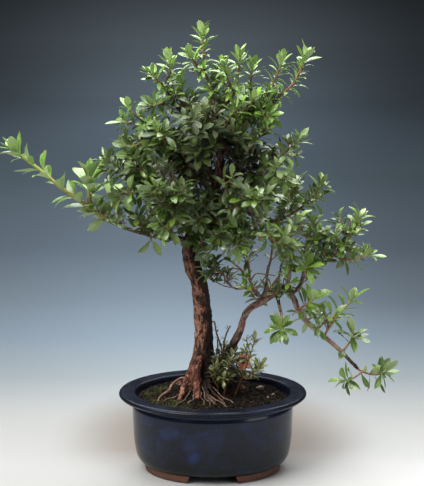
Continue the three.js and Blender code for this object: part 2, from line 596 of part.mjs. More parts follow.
function soilSolid(woodHole, stemHoles) {
  const [bellyX, bellyY] = BELLY_HALF;
  const wallX = RIM_HALF[0] - LIP_WIDTH - 1.6;
  const wallY = RIM_HALF[1] - LIP_WIDTH - 1.6;
  const bottom = FLOOR_TOP + SCREEN_SIZE[2] + 2 * GAP;
  const edgeZ = SOIL_EDGE - 2;
  const profile = [
    [0, 0, bottom],
    [bellyX - 16.5, bellyY - 16.5, bottom],
    [bellyX - 10, bellyY - 10, FLOOR_TOP + 9],
    [wallX - 0.8, wallY - 0.8, edgeZ - 3],
    [wallX - 0.8, wallY - 0.8, edgeZ],
    [0.75 * wallX, 0.75 * wallY, edgeZ],
    [0.48 * wallX, 0.48 * wallY, edgeZ],
    [0.22 * wallX, 0.22 * wallY, edgeZ],
    [0, 0, edgeZ],
  ];
  const soil = ovalBody(profile, 20, (x, y, z) => (z < edgeZ ? z : soilHeight(x, y)));
  return soil.subtract(join([woodHole, ...stemHoles]));
}

// ---------------------------------------------------------------- bloom

const BLOOM = {
  stalk: [[30, 15, 79], [31, 14, 91], [32, 12, 104], [33, 8, 117]],
  radii: [1.1, 1.3, 2.4],
  centre: [32.7, 9, 116],
  room: [6, 9],                   // kept free from its foot to its mouth
  axis: [0.35, -0.75, 0.55],      // the way its mouth looks
  petals: 5,
  length: 11,
  width: 2.1,                     // against a leaf's width
  flare: 0.55,                    // how far the petals lean forwards
};

/** A faded funnel flower on its side: five petals round a short tube, on a stalk that stands in the soil. */
function bloomSolid() {
  const parts = [rod(BLOOM.stalk, BLOOM.radii, 5, 3)];
  const foot = v3(BLOOM.centre);
  const axis = v3(BLOOM.axis).normalize();
  const side = new THREE.Vector3().crossVectors(axis, v3([0, 0, 1])).normalize();
  const up = new THREE.Vector3().crossVectors(side, axis);
  for (let i = 0; i < BLOOM.petals; i += 1) {
    const turn = i / BLOOM.petals * Math.PI * 2 + 0.3;
    const out = side.clone().multiplyScalar(Math.cos(turn)).addScaledVector(up, Math.sin(turn));
    const along = out.clone().addScaledVector(axis, BLOOM.flare).normalize();
    const normal = axis.clone().addScaledVector(along, -axis.dot(along)).normalize();
    const across = new THREE.Vector3().crossVectors(normal, along).multiplyScalar(BLOOM.width);
    parts.push(blade({ foot, along, across, normal, length: BLOOM.length }));
  }
  return join(parts);
}

// ---------------------------------------------------------------- the model

const model = new THREE.Group();
model.name = 'azalea_bonsai';

function addPiece(name, solid, colour, roughness) {
  const material = new THREE.MeshStandardMaterial({ color: colour, roughness, metalness: 0 });
  const mesh = new THREE.Mesh(geometryOf(solid), material);
  mesh.name = name;
  model.add(mesh);
}

const taken = [];
for (const list of [LIMBS, ROOTS]) {
  for (const [way, radii] of Object.values(list)) claim(way, radii.map((r) => r + 0.6), 'trunk', taken);
}
for (const [name, shoots] of Object.entries(SPRAYS)) {
  for (const [way] of shoots) claim(way, [CLEAR.stem, CLEAR.stem], name, taken);
}

const bloomMouth = v3(BLOOM.centre).addScaledVector(v3(BLOOM.axis), 6).toArray();
claim(BLOOM.stalk, [2.5, 2.5], 'bloom', taken);
claim([BLOOM.centre, bloomMouth], BLOOM.room, 'bloom', taken);

const woodSolid = wood(0);
const woodHole = wood(GAP);
const stemHoles = [];
for (const name of ['sucker_a', 'sucker_b']) {
  stemHoles.push(rod(SPRAYS[name][0][0], [STEM_RADIUS, TIP_RADIUS], TWIG_SIDES, 4, GAP));
}
stemHoles.push(rod(BLOOM.stalk, BLOOM.radii, 5, 3, GAP));

addPiece('pot', potSolid(), COLOURS.glaze, 0.15);
addPiece('soil', soilSolid(woodHole, stemHoles), COLOURS.soil, 0.95);
addPiece('trunk', woodSolid, COLOURS.bark, 0.85);
addPiece('screen_left', screenSolid(-DRAIN_X), COLOURS.screen, 0.6);
addPiece('screen_right', screenSolid(DRAIN_X), COLOURS.screen, 0.6);
addPiece('bloom', bloomSolid(), COLOURS.bloom, 0.6);

const YOUNG = ['leader', 'crown_nw', 'crown_n', 'crown_e', 'crown_far', 'crown_w', 'long_left'];
Object.entries(SPRAYS).forEach(([name, shoots], number) => {
  const leaves = growLeaves(name, shoots, number + 1, taken);
  const solid = buildSpray(name, shoots, leaves).subtract(woodHole);
  const colour = YOUNG.includes(name) ? COLOURS.young_leaf : COLOURS.leaf;
  addPiece(`spray_${name}`, solid, colour, 0.4);
});

const box = new THREE.Box3().setFromObject(model);
model.position.set(-(box.min.x + box.max.x) / 2, -(box.min.y + box.max.y) / 2, -box.min.z);

export default model;
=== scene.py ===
"""A satsuki azalea bonsai in its oval glazed pot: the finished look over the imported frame.

All shapes are worked out in millimetres about the pot's middle, with the feet on z = 0,
and each finished piece is then brought to metres and to its place in the frame.
"""
import json
import math
import random

import bmesh
import bpy
import numpy as np
from mathutils import Matrix, Vector, noise

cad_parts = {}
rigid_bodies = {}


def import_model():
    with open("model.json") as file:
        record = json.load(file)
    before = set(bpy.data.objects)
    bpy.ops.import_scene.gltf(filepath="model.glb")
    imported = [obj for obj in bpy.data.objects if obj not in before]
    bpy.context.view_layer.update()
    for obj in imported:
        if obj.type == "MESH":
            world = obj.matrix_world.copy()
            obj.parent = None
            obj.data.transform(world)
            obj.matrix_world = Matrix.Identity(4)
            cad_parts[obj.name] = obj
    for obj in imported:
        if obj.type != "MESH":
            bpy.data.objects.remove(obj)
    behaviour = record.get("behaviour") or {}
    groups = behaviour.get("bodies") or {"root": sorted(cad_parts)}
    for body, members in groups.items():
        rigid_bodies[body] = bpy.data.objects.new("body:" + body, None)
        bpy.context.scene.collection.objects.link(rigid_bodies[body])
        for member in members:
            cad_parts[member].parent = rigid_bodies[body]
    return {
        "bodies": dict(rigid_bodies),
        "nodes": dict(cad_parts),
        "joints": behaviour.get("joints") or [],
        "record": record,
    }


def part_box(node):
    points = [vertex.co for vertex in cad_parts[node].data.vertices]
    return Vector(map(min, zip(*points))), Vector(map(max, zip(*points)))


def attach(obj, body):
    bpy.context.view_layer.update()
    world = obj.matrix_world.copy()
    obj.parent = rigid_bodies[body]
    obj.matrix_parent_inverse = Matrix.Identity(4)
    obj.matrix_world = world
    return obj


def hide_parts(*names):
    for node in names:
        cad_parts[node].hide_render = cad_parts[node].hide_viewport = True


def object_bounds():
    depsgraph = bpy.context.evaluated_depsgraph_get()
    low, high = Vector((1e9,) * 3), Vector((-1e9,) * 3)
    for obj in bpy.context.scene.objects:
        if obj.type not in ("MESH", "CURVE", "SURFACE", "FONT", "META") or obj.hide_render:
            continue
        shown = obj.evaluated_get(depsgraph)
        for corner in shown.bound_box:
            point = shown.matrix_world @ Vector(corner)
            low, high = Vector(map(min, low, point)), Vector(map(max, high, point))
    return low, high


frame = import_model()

CAD_BOX = [list(corner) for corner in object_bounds()]
MM = 0.001
_low, _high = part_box("pot")
POT_MIDDLE = Vector(((_low[0] + _high[0]) / 2, (_low[1] + _high[1]) / 2, 0))
GOLDEN = math.radians(137.5)

# ---------------------------------------------------------------- sizes of the pot and the soil, mm

RIM_HALF = (102.5, 79.9)
POT_HEIGHT = 87.7
LIP_WIDTH = 18.6
UNDER_LIP = POT_HEIGHT - 6.5
BELLY_HALF = (87.0, 65.2)
FOOT_HALF = (75.5, 56.0)
FOOT_HEIGHT = 7.0
FOOT_WIDTH = 9.0
FOOT_NOTCH = (25.0, 13.0)         # half gaps between the feet, front and side
FOOT_FLARE = 2.5                  # a notch is this much wider each way at the floor
POT_TURNS = 144
LIP_FLAT, WALL_FLAT = 22.6, 21.8  # half width less half depth, at the lip and below it,
MIDDLE_ROUND = 60.0               # shrinking to nothing inwards of this radius
FLOOR_TOP = 13.0
DRAIN_X = 30.0
DRAIN_RADIUS = 8.5
SOIL_EDGE = 80.5
SOIL_MOUND = 4.0
SOIL_CENTRE = (-9, 16)
SOIL_HALF = (81.5, 58.9)
SOIL_FOOT = 14.8

# ---------------------------------------------------------------- wood: way points, radii, sides, rings

LIMBS = {
  "trunk": [[[-12, 20, 56], [-11, 20, 70], [-10, 22, 85], [-10, 22, 108], [-10, 20, 133], [-10, 18, 153],
    [-11, 15, 170], [-12, 12, 186], [-15, 9, 206], [-22, 7, 226], [-25, 6, 242], [-23, 5, 256],
    [-17, 4, 274], [-7, 2, 293], [2, 0, 311], [8, -2, 331], [8, -3, 350], [7, -3, 367],
    [3, -3, 384], [0, -3, 400]],
  [15, 17, 17.5, 14.5, 10.4, 9.8, 9.6, 9.1, 8.8, 8.6, 7.9, 7.3, 7, 6.3, 5.6, 4.5, 3.9, 3.5, 3.1, 2.6], 9, 24],
  "second": [[[-4, 20, 97], [6, 19, 109], [16, 18, 123], [24, 16, 138], [30, 14, 152], [34, 12, 167],
    [40, 9, 177], [52, 6, 186], [63, 3, 195], [73, 1, 201], [84, -1, 202]],
  [8, 6.5, 5, 4.5, 3.9, 3.6, 3.7, 4.2, 4.8, 4.9, 4.4], 6, 14],
  "cascade": [[[79, 0, 201], [86, -4, 194], [92, -8, 179], [100, -12, 169], [111, -16, 160],
    [125, -20, 149], [138, -24, 138], [148, -28, 128], [155, -30, 121]],
  [3.4, 3.2, 3, 2.8, 2.6, 2.4, 2.2, 2, 1.8], 5, 10],
  "upright": [[[84, -2, 198], [92, -2, 203], [97, 0, 216], [99, 2, 225], [110, 4, 228], [124, 6, 231]],
    [2.6, 2.4, 2.2, 2, 1.8], 5, 7],
  "mid_up": [[[80, 0, 202], [82, -10, 223], [83, -18, 243], [82, -22, 260]], [2.4, 2, 1.6], 5, 4],
  "spur_up": [[[53, 6, 189], [46, 4, 199], [40, 2, 211], [39, 0, 221]], [2.2, 1.8, 1.5], 5, 4],
  "spur_left": [[[48, 5, 193], [37, 0, 202], [24, -4, 203], [16, -6, 210], [11, -8, 221]],
    [1.8, 1.5, 1.3], 5, 5],
  "thin_a": [[[52, 6, 188], [57, 10, 200], [59, 14, 213], [62, 18, 227]], [1.9, 1.6, 1.3], 5, 4],
  "thin_b": [[[63, 3, 195], [70, 16, 205], [74, 28, 216], [77, 36, 227]], [1.9, 1.6, 1.3], 5, 4],
  "drop": [[[69, 2, 198], [71, -4, 186], [74, -12, 175], [75, -20, 162]], [2.4, 1.9, 1.4], 5, 4],
  "left_low": [[[-26, 5, 246], [-35, -2, 256], [-50, -9, 259], [-66, -15, 264], [-87, -22, 271],
    [-107, -28, 281]],
    [3, 2.5, 2.2, 2, 1.8], 5, 9],
  "stub": [[[-23, 6, 250], [-33, 1, 256], [-41, -3, 259]], [3.6, 3, 2.4], 6, 2],
  "left_mid": [[[-17, 4, 274], [-34, -8, 294], [-55, -20, 311], [-75, -30, 323]], [3.2, 2.5, 1.8], 5, 5],
  "left_back": [[[-15, 4, 278], [-33, 22, 300], [-55, 38, 322]], [3, 2.4, 1.8], 5, 4],
  "left_up": [[[-1, 1, 306], [-18, -6, 329], [-36, -12, 350], [-52, -14, 367], [-63, -15, 376]],
    [3, 2.6, 2.1, 1.7], 5, 6],
  "right_mid": [[[7, -1, 320], [20, -5, 327], [36, -9, 333], [52, -12, 338]], [3.4, 2.8, 2], 5, 4],
  "right_low": [[[-9, 3, 289], [3, -8, 283], [20, -18, 276], [35, -24, 274], [49, -28, 270]],
    [2.8, 2.3, 1.8], 5, 5],
  "right_out": [[[2, 0, 309], [25, 8, 292], [47, 14, 278], [67, 18, 272], [80, 18, 277]],
    [3, 2.6, 2.1, 1.7], 5, 7],
  "crown_right": [[[8, -3, 350], [17, 0, 367], [28, 2, 381], [39, 4, 393]], [3, 2.5, 2], 5, 4],
  "crown_left": [[[6, -3, 374], [-8, -2, 382], [-24, 0, 390], [-37, 2, 396]], [2.6, 2.2, 1.8], 5, 4],
  "front_up": [[[9, -2, 342], [5, -25, 356], [-1, -45, 368]], [2.6, 2.2, 1.7], 5, 4],
  "back_up": [[[8, -2, 344], [14, 25, 352], [23, 48, 361]], [2.6, 2.2, 1.7], 5, 4],
  "back_left": [[[5, 0, 316], [-6, 28, 324], [-18, 50, 330]], [2.9, 2.3, 1.7], 5, 4],
  "back_right": [[[7, -1, 322], [25, 25, 316], [43, 46, 308]], [2.9, 2.3, 1.7], 5, 4],
  "front_right": [[[-3, 2, 300], [8, -22, 304], [19, -42, 304]], [2.7, 2.2, 1.7], 5, 4],
  "front_left": [[[-18, 4, 272], [-28, -20, 282], [-37, -40, 292]], [2.7, 2.2, 1.7], 5, 4],
}

ROOTS = {
  "bulge": [[[-14, 12, 125], [-18, 9, 115], [-20, 6, 104], [-19, 4, 93]], [4.5, 7.4, 7.6, 5], 7, 3],
  "root_a": [[[-20, 10, 113], [-26, 6, 103], [-30, 1, 95], [-33, -6, 88], [-36, -14, 82], [-39, -21, 76]],
    [4.8, 4.2, 3.1, 2.8, 2.4, 1.6], 5, 6],
  "root_b": [[[-17, 6, 105], [-17, 2, 96], [-17, -5, 88], [-17, -13, 82], [-16, -20, 76]],
    [5.4, 4.6, 4.2, 3.3, 2.2], 5, 4],
  "root_c": [[[-20, 17, 96], [-36, 17, 95], [-45, 10, 90], [-48, 2, 86], [-56, -6, 83], [-60, -22, 80],
    [-61, -30, 76]], [1.8, 1.6, 1.4, 1.3, 1.2], 5, 8],
  "root_d": [[[-9, 8, 96], [-8, -4, 89], [-4, -16, 84], [1, -26, 81], [4, -34, 76]],
    [3, 2.3, 2, 1.7, 1.2], 5, 5],
  "root_e": [[[-4, 6, 97], [-2, -6, 90], [5, -16, 86], [11, -24, 82], [15, -32, 76]],
    [2.4, 1.7, 1.4, 1.2, 1], 5, 6],
  "root_f": [[[0, 20, 102], [14, 22, 93], [26, 22, 85], [38, 26, 78]], [7.5, 6.5, 4.5, 3], 5, 4],
  "root_g": [[[-10, 26, 100], [-14, 42, 88], [-20, 54, 77]], [7, 4.5, 2.8], 5, 4],
  "root_h": [[[1, 14, 108], [11, 9, 98], [22, 3, 84]], [9, 7.4, 4], 6, 3],
  "root_i": [[[-16, 24, 98], [-32, 34, 87], [-44, 44, 77]], [5.5, 3.8, 2.2], 5, 4],
}

SPRAYS = {
  "leader": [
    [[[-1, -3, 397], [-2, -3, 415], [-8, -4, 436], [-10, -4, 459], [-11, -4, 473]], 6, 18],
    [[[-2, -3, 413], [6, 6, 425], [10, 10, 439]], 3, 17],
    [[[-7, -4, 432], [-17, -12, 443], [-23, -16, 452]], 3, 17],
  ],
  "crown_nw": [
    [[[-36, 2, 395], [-45, 0, 410], [-49, -2, 421], [-44, -2, 434], [-45, -2, 446]], 5, 18],
    [[[-47, -1, 417], [-57, -8, 426], [-63, -10, 433]], 3, 17],
    [[[-40, 1, 402], [-55, -12, 402], [-65, -18, 401]], 3, 18],
  ],
  "crown_back": [[[[-24, 0, 390], [-30, 22, 404], [-37, 34, 420]], 4, 19]],
  "crown_w": [
    [[[-62, -15, 375], [-70, -18, 384], [-79, -20, 390], [-87, -20, 399]], 4, 19],
    [[[-69, -18, 383], [-81, -26, 383], [-91, -30, 386]], 3, 19],
  ],
  "crown_n": [
    [[[3, -3, 388], [14, -6, 401], [23, -8, 414], [26, -8, 430], [28, -8, 451]], 5, 17],
    [[[22, -8, 412], [16, -20, 428], [12, -26, 440]], 3, 17],
  ],
  "crown_e": [
    [[[38, 4, 392], [52, 4, 402], [60, 4, 415], [66, 4, 428], [72, 4, 444]], 5, 18],
    [[[44, 4, 396], [40, 12, 410], [40, 14, 424], [42, 14, 438]], 4, 17],
  ],
  "crown_far": [
    [[[37, 3, 391], [58, -4, 398], [71, -8, 411], [84, -10, 424], [91, -10, 437], [96, -10, 451]], 7, 18],
    [[[46, 0, 394], [50, -12, 391], [58, -24, 391]], 3, 19],
  ],
  "front_up_a": [
    [[[-1, -45, 368], [-8, -60, 378], [-17, -74, 387], [-26, -82, 395]], 4, 20],
    [[[-4, -52, 373], [-3, -56, 386], [-7, -60, 400]], 3, 19],
  ],
  "front_up_b": [[[[5, -25, 356], [16, -36, 364], [28, -46, 373]], 3, 20]],
  "front_up_c": [[[[1, -36, 363], [-9, -54, 360], [-17, -66, 356]], 3, 21]],
  "back_up_a": [
    [[[23, 48, 361], [30, 64, 369], [43, 76, 378], [54, 84, 386]], 4, 20],
    [[[24, 52, 363], [26, 56, 381], [31, 58, 398]], 3, 19],
  ],
  "back_up_b": [[[[16, 32, 354], [4, 44, 371], [-7, 52, 388]], 4, 20]],
  "left_up_a": [[[[-51, -14, 366], [-65, -26, 366], [-77, -34, 363], [-88, -38, 359]], 4, 20]],
  "left_up_b": [[[[-36, -12, 350], [-44, -32, 359], [-50, -46, 369], [-55, -54, 379]], 4, 20]],
  "left_up_c": [[[[-18, -6, 329], [-26, -28, 342], [-32, -44, 357]], 4, 20]],
  "left_mid_a": [
    [[[-75, -30, 323], [-89, -35, 333], [-99, -38, 339], [-109, -40, 346]], 4, 20],
    [[[-79, -31, 326], [-86, -42, 317], [-95, -50, 308]], 3, 20],
  ],
  "left_mid_b": [[[[-55, -20, 311], [-65, -38, 327], [-72, -48, 341], [-78, -50, 351]], 4, 20]],
  "left_back_a": [
    [[[-55, 38, 322], [-71, 46, 337], [-86, 56, 343], [-99, 60, 351]], 4, 20],
    [[[-60, 41, 327], [-73, 56, 321], [-86, 66, 315]], 3, 20],
  ],
  "left_back_b": [[[[-33, 22, 300], [-51, 44, 292], [-67, 58, 285]], 4, 21]],
  "long_left": [
    [[[-107, -28, 281], [-121, -32, 291], [-137, -36, 304], [-157, -38, 319], [-177, -38, 337],
      [-194, -36, 349], [-205, -36, 358]], 9, 20],
    [[[-129, -34, 298], [-128, -40, 314], [-127, -42, 327]], 3, 20],
    [[[-113, -29, 285], [-108, -12, 290], [-105, 2, 298]], 3, 20],
  ],
  "left_low_a": [
    [[[-64, -15, 263], [-72, -28, 276], [-79, -36, 286]], 4, 20],
    [[[-67, -20, 268], [-65, -21, 263], [-64, -22, 259]], 2, 21],
  ],
  "left_low_b": [[[[-49, -9, 259], [-59, 10, 262], [-70, 24, 265]], 3, 20]],
  "front_left": [
    [[[-37, -40, 292], [-43, -54, 299], [-53, -66, 311], [-63, -74, 321]], 4, 21],
    [[[-40, -47, 296], [-33, -62, 310], [-31, -70, 322]], 3, 20],
    [[[-39, -45, 294], [-42, -58, 284], [-48, -64, 276]], 3, 21],
  ],
  "back_left_a": [
    [[[-18, 50, 330], [-28, 67, 334], [-43, 80, 340], [-56, 88, 343]], 4, 21],
    [[[-21, 56, 332], [-27, 60, 350], [-30, 64, 366]], 3, 20],
  ],
  "back_left_b": [[[[-7, 30, 324], [-20, 50, 309], [-32, 62, 298]], 4, 21]],
  "back_right_a": [
    [[[43, 46, 308], [56, 58, 300], [74, 70, 297], [88, 76, 291]], 4, 21],
    [[[47, 50, 306], [56, 60, 319], [64, 64, 333]], 3, 20],
  ],
  "back_right_b": [[[[25, 25, 316], [30, 40, 333], [34, 48, 347]], 4, 20]],
  "right_a": [
    [[[52, -12, 338], [65, -12, 345], [80, -12, 354], [90, -12, 364]], 4, 20],
    [[[56, -12, 340], [64, -28, 334], [74, -38, 328]], 3, 20],
  ],
  "right_b": [[[[36, -9, 333], [39, -20, 350], [43, -26, 364], [48, -28, 376]], 4, 19]],
  "east_a": [
    [[[80, 18, 277], [97, 18, 289], [107, 18, 298], [116, 18, 311]], 5, 19],
    [[[85, 18, 281], [83, 12, 295], [84, 8, 306], [87, 6, 316]], 4, 19],
  ],
  "east_b": [[[[47, 14, 278], [53, 30, 288], [58, 42, 301]], 4, 20]],
  "east_c": [[[[25, 8, 292], [35, -10, 305], [43, -20, 315]], 3, 20]],
  "low_a": [[[[49, -28, 270], [62, -36, 263], [74, -40, 258]], 4, 21]],
  "low_b": [[[[20, -18, 276], [24, -32, 266], [26, -38, 255]], 3, 21]],
  "front_right": [
    [[[19, -42, 304], [28, -57, 303], [40, -68, 310], [51, -76, 316]], 4, 21],
    [[[21, -46, 304], [15, -60, 320], [11, -70, 332]], 3, 20],
  ],
  "spur_a": [[[[39, 0, 220], [38, -4, 232], [35, -6, 242]], 3, 20]],
  "spur_b": [[[[11, -8, 220], [1, -12, 226], [-7, -14, 230]], 4, 19]],
  "thin_a": [[[[62, 18, 226], [64, 22, 237], [65, 24, 247]], 3, 20]],
  "thin_b": [[[[77, 36, 226], [83, 46, 236], [85, 50, 247]], 4, 20]],
  "thin_c": [[[[53, 6, 187], [58, 26, 188], [65, 42, 192]], 3, 20]],
  "mid_up": [[[[82, -22, 259], [83, -26, 272], [87, -28, 281]], 3, 20]],
  "upright": [[[[99, 2, 225], [102, 4, 239], [103, 4, 254], [106, 4, 274]], 5, 19]],
  "whorl": [[[[97, 0, 217], [98, -14, 226], [99, -24, 231]], 4, 26]],
  "far_e": [
    [[[123, 6, 231], [136, 4, 243], [146, 0, 257], [152, 0, 268], [156, 0, 279]], 5, 19],
    [[[130, 5, 237], [143, -2, 234], [155, -6, 237], [166, -8, 241]], 4, 19],
  ],
  "knob_e": [[[[91, -8, 181], [98, -20, 189], [105, -28, 196]], 4, 23]],
  "high_a": [[[[119, -18, 154], [129, -24, 174], [140, -28, 188], [147, -30, 198]], 5, 21]],
  "high_b": [[[[138, -24, 138], [145, -30, 150], [149, -34, 161]], 4, 24]],
  "high_c": [[[[111, -16, 160], [119, -26, 172], [127, -34, 180]], 3, 21]],
  "cascade_back": [[[[100, -12, 169], [108, 8, 168], [117, 22, 169]], 3, 21]],
  "cascade_tip": [
    [[[155, -30, 121], [164, -32, 117], [174, -34, 116], [183, -36, 119]], 6, 21],
    [[[160, -31, 119], [150, -38, 114], [140, -40, 111]], 3, 20],
  ],
  "rosette": [[[[75, -19, 163], [74, -26, 165], [72, -33, 167]], 5, 21]],
  "sucker_a": [
    [[[24, -4, 82], [30, -8, 100], [36, -11, 118], [41, -11, 133], [45, -10, 147]], 4, 12],
    [[[31, -8, 102], [42, -14, 111], [52, -14, 120]], 4, 12],
  ],
  "sucker_b": [
    [[[12, -4, 82], [15, -8, 97], [17, -10, 112], [21, -10, 127]], 4, 12],
    [[[15, -8, 97], [8, -14, 108], [4, -16, 119]], 3, 12],
  ],
}

OLD_WOOD = ("trunk", "second", "stub")

# ---------------------------------------------------------------- small tools


def lerp(a, b, t):
    return a + (b - a) * t


def dice(seed):
    """Repeatable numbers from 0 to 1, the same that placed the frame's leaves."""
    state = [(seed * 2654435761 + 97) % 4294967296]

    def roll():
        state[0] = (state[0] * 1664525 + 1013904223) % 4294967296
        return state[0] / 4294967296

    return roll


def between(values, t):
    """The value at t, from 0 to 1, of evenly spread values."""
    step = t * (len(values) - 1)
    below = min(int(step), len(values) - 2)
    return lerp(values[below], values[below + 1], step - below)


def clamped(value):
    return min(1, max(0, value))


def spoke(side, up, turn):
    """A direction square to a stem."""
    return side * math.cos(turn) + up * math.sin(turn)


def placed(name, data):
    """A new object in the scene."""
    thing = bpy.data.objects.new(name, data)
    bpy.context.scene.collection.objects.link(thing)
    return thing


class Line:
    """A smooth line through given points."""

    def __init__(self, points):
        self.points = [Vector(p) for p in points]
        steps = [self.place(i / 200) for i in range(201)]
        self.length = sum((b - a).length for a, b in zip(steps, steps[1:]))

    def place(self, t):
        points, last = self.points, len(self.points) - 1
        run = min(max(t, 0.0), 1.0) * last
        k = min(int(run), last - 1)
        w = run - k
        p1, p2 = points[k], points[k + 1]
        p0 = points[k - 1] if k > 0 else 2 * points[0] - points[1]
        p3 = points[k + 2] if k + 2 <= last else 2 * points[last] - points[last - 1]
        d0, d1, d2 = (math.sqrt((b - a).length) for a, b in ((p0, p1), (p1, p2), (p2, p3)))
        m1 = ((p1 - p0) / d0 - (p2 - p0) / (d0 + d1) + (p2 - p1) / d1) * d1
        m2 = ((p2 - p1) / d1 - (p3 - p1) / (d1 + d2) + (p3 - p2) / d2) * d1
        return (p1 + m1 * w + (3 * (p2 - p1) - 2 * m1 - m2) * w * w
                + (2 * (p1 - p2) + m1 + m2) * w ** 3)

    def heading(self, t):
        return (self.place(min(t + 0.0001, 1)) - self.place(max(t - 0.0001, 0))).normalized()

    def at(self, t):
        """Point, direction and two directions across it."""
        along = self.heading(t)
        guide = Vector((0, 0, 1)) if abs(along.z) < 0.9 else Vector((1, 0, 0))
        side = guide.cross(along).normalized()
        return self.place(t), along, side, along.cross(side)


def frames_along(line, rings):
    """A frame for each ring of a rod, carried along the line so that it never flips."""
    frames, (_, _, last, _) = [], line.at(0)
    for i in range(rings + 1):
        point, along, _, _ = line.at(i / rings)
        side = (last - along * last.dot(along)).normalized()
        frames.append((point, along, side, along.cross(side)))
        last = side
    return frames


def add_rod(bm, line, radii, sides, rings, cap=0.5):
    """A closed tapering rod: a ball whose rows are moved to rings along the line."""
    frames = frames_along(line, rings)
    rows = rings + 2
    made = bmesh.ops.create_uvsphere(bm, u_segments=sides, v_segments=rows, radius=1)["verts"]
    for vert in made:
        row = round(math.acos(max(-1.0, min(1.0, vert.co.z))) / math.pi * rows)
        ring = min(max(row - 1, 0), rings)
        point, along, side, up = frames[ring]
        radius = between(radii, ring / rings)
        if row in (0, rows):
            vert.co = point + along * (radius * cap * (1 if row else -1))
        else:
            turn = math.atan2(vert.co.y, vert.co.x)
            vert.co = point + spoke(side, up, turn) * radius
    return made


def smooth(bm):
    for face in bm.faces:
        face.smooth = True


def dye(faces, layer, value):
    """Stores one value on all corners of some faces."""
    for face in faces:
        for loop in face.loops:
            loop[layer] = value


def mesh_of(bm, name, materials=()):
    mesh = bpy.data.meshes.new(name)
    bm.to_mesh(mesh)
    bm.free()
    for material in materials:
        mesh.materials.append(material)
    return mesh


def piece(name, bm, materials, slot, *nodes):
    """Brings a mesh to metres and to its place, and lets it ride on the root."""
    bmesh.ops.scale(bm, vec=(MM, MM, MM), verts=bm.verts)
    bmesh.ops.translate(bm, vec=POT_MIDDLE, verts=bm.verts)
    thing = placed(name, mesh_of(bm, name, materials))
    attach(thing, "root")
    if nodes:
        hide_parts(*nodes)
    return thing


def applied(bm, *modifiers):
    """A bmesh after some modifiers, each a type and its settings."""
    thing = placed("work", mesh_of(bm, "work"))
    for kind, settings in modifiers:
        modifier = thing.modifiers.new(kind.lower(), kind)
        for key, value in settings.items():
            setattr(modifier, key, value)
    graph = bpy.context.evaluated_depsgraph_get()
    made = bmesh.new()
    made.from_mesh(thing.evaluated_get(graph).to_mesh())
    mesh = thing.data
    bpy.data.objects.remove(thing)
    bpy.data.meshes.remove(mesh)
    return made


# ---------------------------------------------------------------- material tools


class Paint:
    """Lays out the nodes of one material, node group or world."""

    def __init__(self, tree):
        self.tree = tree

    def feed(self, socket, value):
        if isinstance(value, bpy.types.NodeSocket):
            self.tree.links.new(value, socket)
        else:
            if socket.type == "RGBA" and len(value) == 3:
                value = (*value, 1)
            socket.default_value = value

    def node(self, kind, inputs, **settings):
        """Makes a node and gives its outputs."""
        made = self.tree.nodes.new("ShaderNode" + kind)
        for key, value in settings.items():
            setattr(made, key, value)
        for key, value in inputs.items():
            self.feed(made.inputs[key], value)
        return made.outputs

    def math(self, op, a, b=0.5, clamp=False):
        return self.node("Math", {0: a, 1: b}, operation=op, use_clamp=clamp)[0]

    def times(self, a, b):
        return self.math("MULTIPLY", a, b)

    def plus(self, a, b, clamp=False):
        return self.math("ADD", a, b, clamp)

    def minus(self, a, b, clamp=False):
        return self.math("SUBTRACT", a, b, clamp)

    def most(self, a, b):
        return self.math("MAXIMUM", a, b)

    def vector(self, op, a, b):
        return self.node("VectorMath", {0: a, 1: b}, operation=op)[0]

    def scaled(self, vector, scale):
        return self.node("VectorMath", {0: vector, 3: scale}, operation="SCALE")[0]

    def length(self, vector):
        return self.node("VectorMath", {0: vector}, operation="LENGTH")["Value"]

    def split(self, vector):
        return self.node("SeparateXYZ", {0: vector})

    def blend(self, factor, a, b, mode="MIX"):
        return self.node("Mix", {0: factor, 6: a, 7: b}, data_type="RGBA", blend_type=mode)[2]

    def fit(self, value, low, high, to_low=0.0, to_high=1.0, kind="LINEAR"):
        inputs = {0: value, 1: low, 2: high, 3: to_low, 4: to_high}
        return self.node("MapRange", inputs, interpolation_type=kind)[0]

    def ramp(self, factor, *stops):
        made = self.tree.nodes.new("ShaderNodeValToRGB")
        self.feed(made.inputs[0], factor)
        elements = made.color_ramp.elements
        while len(elements) < len(stops):
            elements.new(0.5)
        for element, (place, colour) in zip(elements, stops):
            element.position = place
            element.color = (*colour, 1)
        return made.outputs[0]

    def coordinates(self, kind="Object"):
        return self.node("TexCoord", {})[kind]

    def place(self):
        """Object coordinates in millimetres."""
        return self.node("Mapping", {0: self.coordinates(), 3: (1 / MM, 1 / MM, 1 / MM)})[0]

    def noise(self, vector, scale, detail=3.0, rough=0.55, distortion=0.0):
        return self.node("TexNoise", {"Vector": vector, "Scale": scale, "Detail": detail,
                                      "Roughness": rough, "Distortion": distortion})[0]

    def cells(self, vector, scale, feature="F1", out="Distance"):
        return self.node("TexVoronoi", {"Vector": vector, "Scale": scale}, feature=feature)[out]

    def attribute(self, name, out="Fac"):
        return self.node("Attribute", {}, attribute_name=name)[out]

    def growth(self):
        """What is stored with each leaf, shoot and grain: tone, age, underside and light."""
        tone, age, below = self.node("SeparateColor", {0: self.attribute("growth", "Color")})
        return tone, age, below, self.attribute("growth", "Alpha")

    def blade(self):
        """Where a point lies on its blade: from foot to tip, and from side to side."""
        return self.node("UVMap", {}, uv_map="blade")[0]

    def bump(self, height, strength, distance):
        return self.node("Bump", {"Strength": strength, "Distance": distance, "Height": height})[0]

    def group(self, group, **inputs):
        return self.node("Group", inputs, node_tree=group)

    def mottle(self, scale, dark, light, contrast, where=None):
        """Two colours in soft patches, over the piece's millimetres unless where is given."""
        where = self.place() if where is None else where
        return self.group(MOTTLE, Vector=where, Scale=scale, Dark=dark, Light=light, Contrast=contrast)


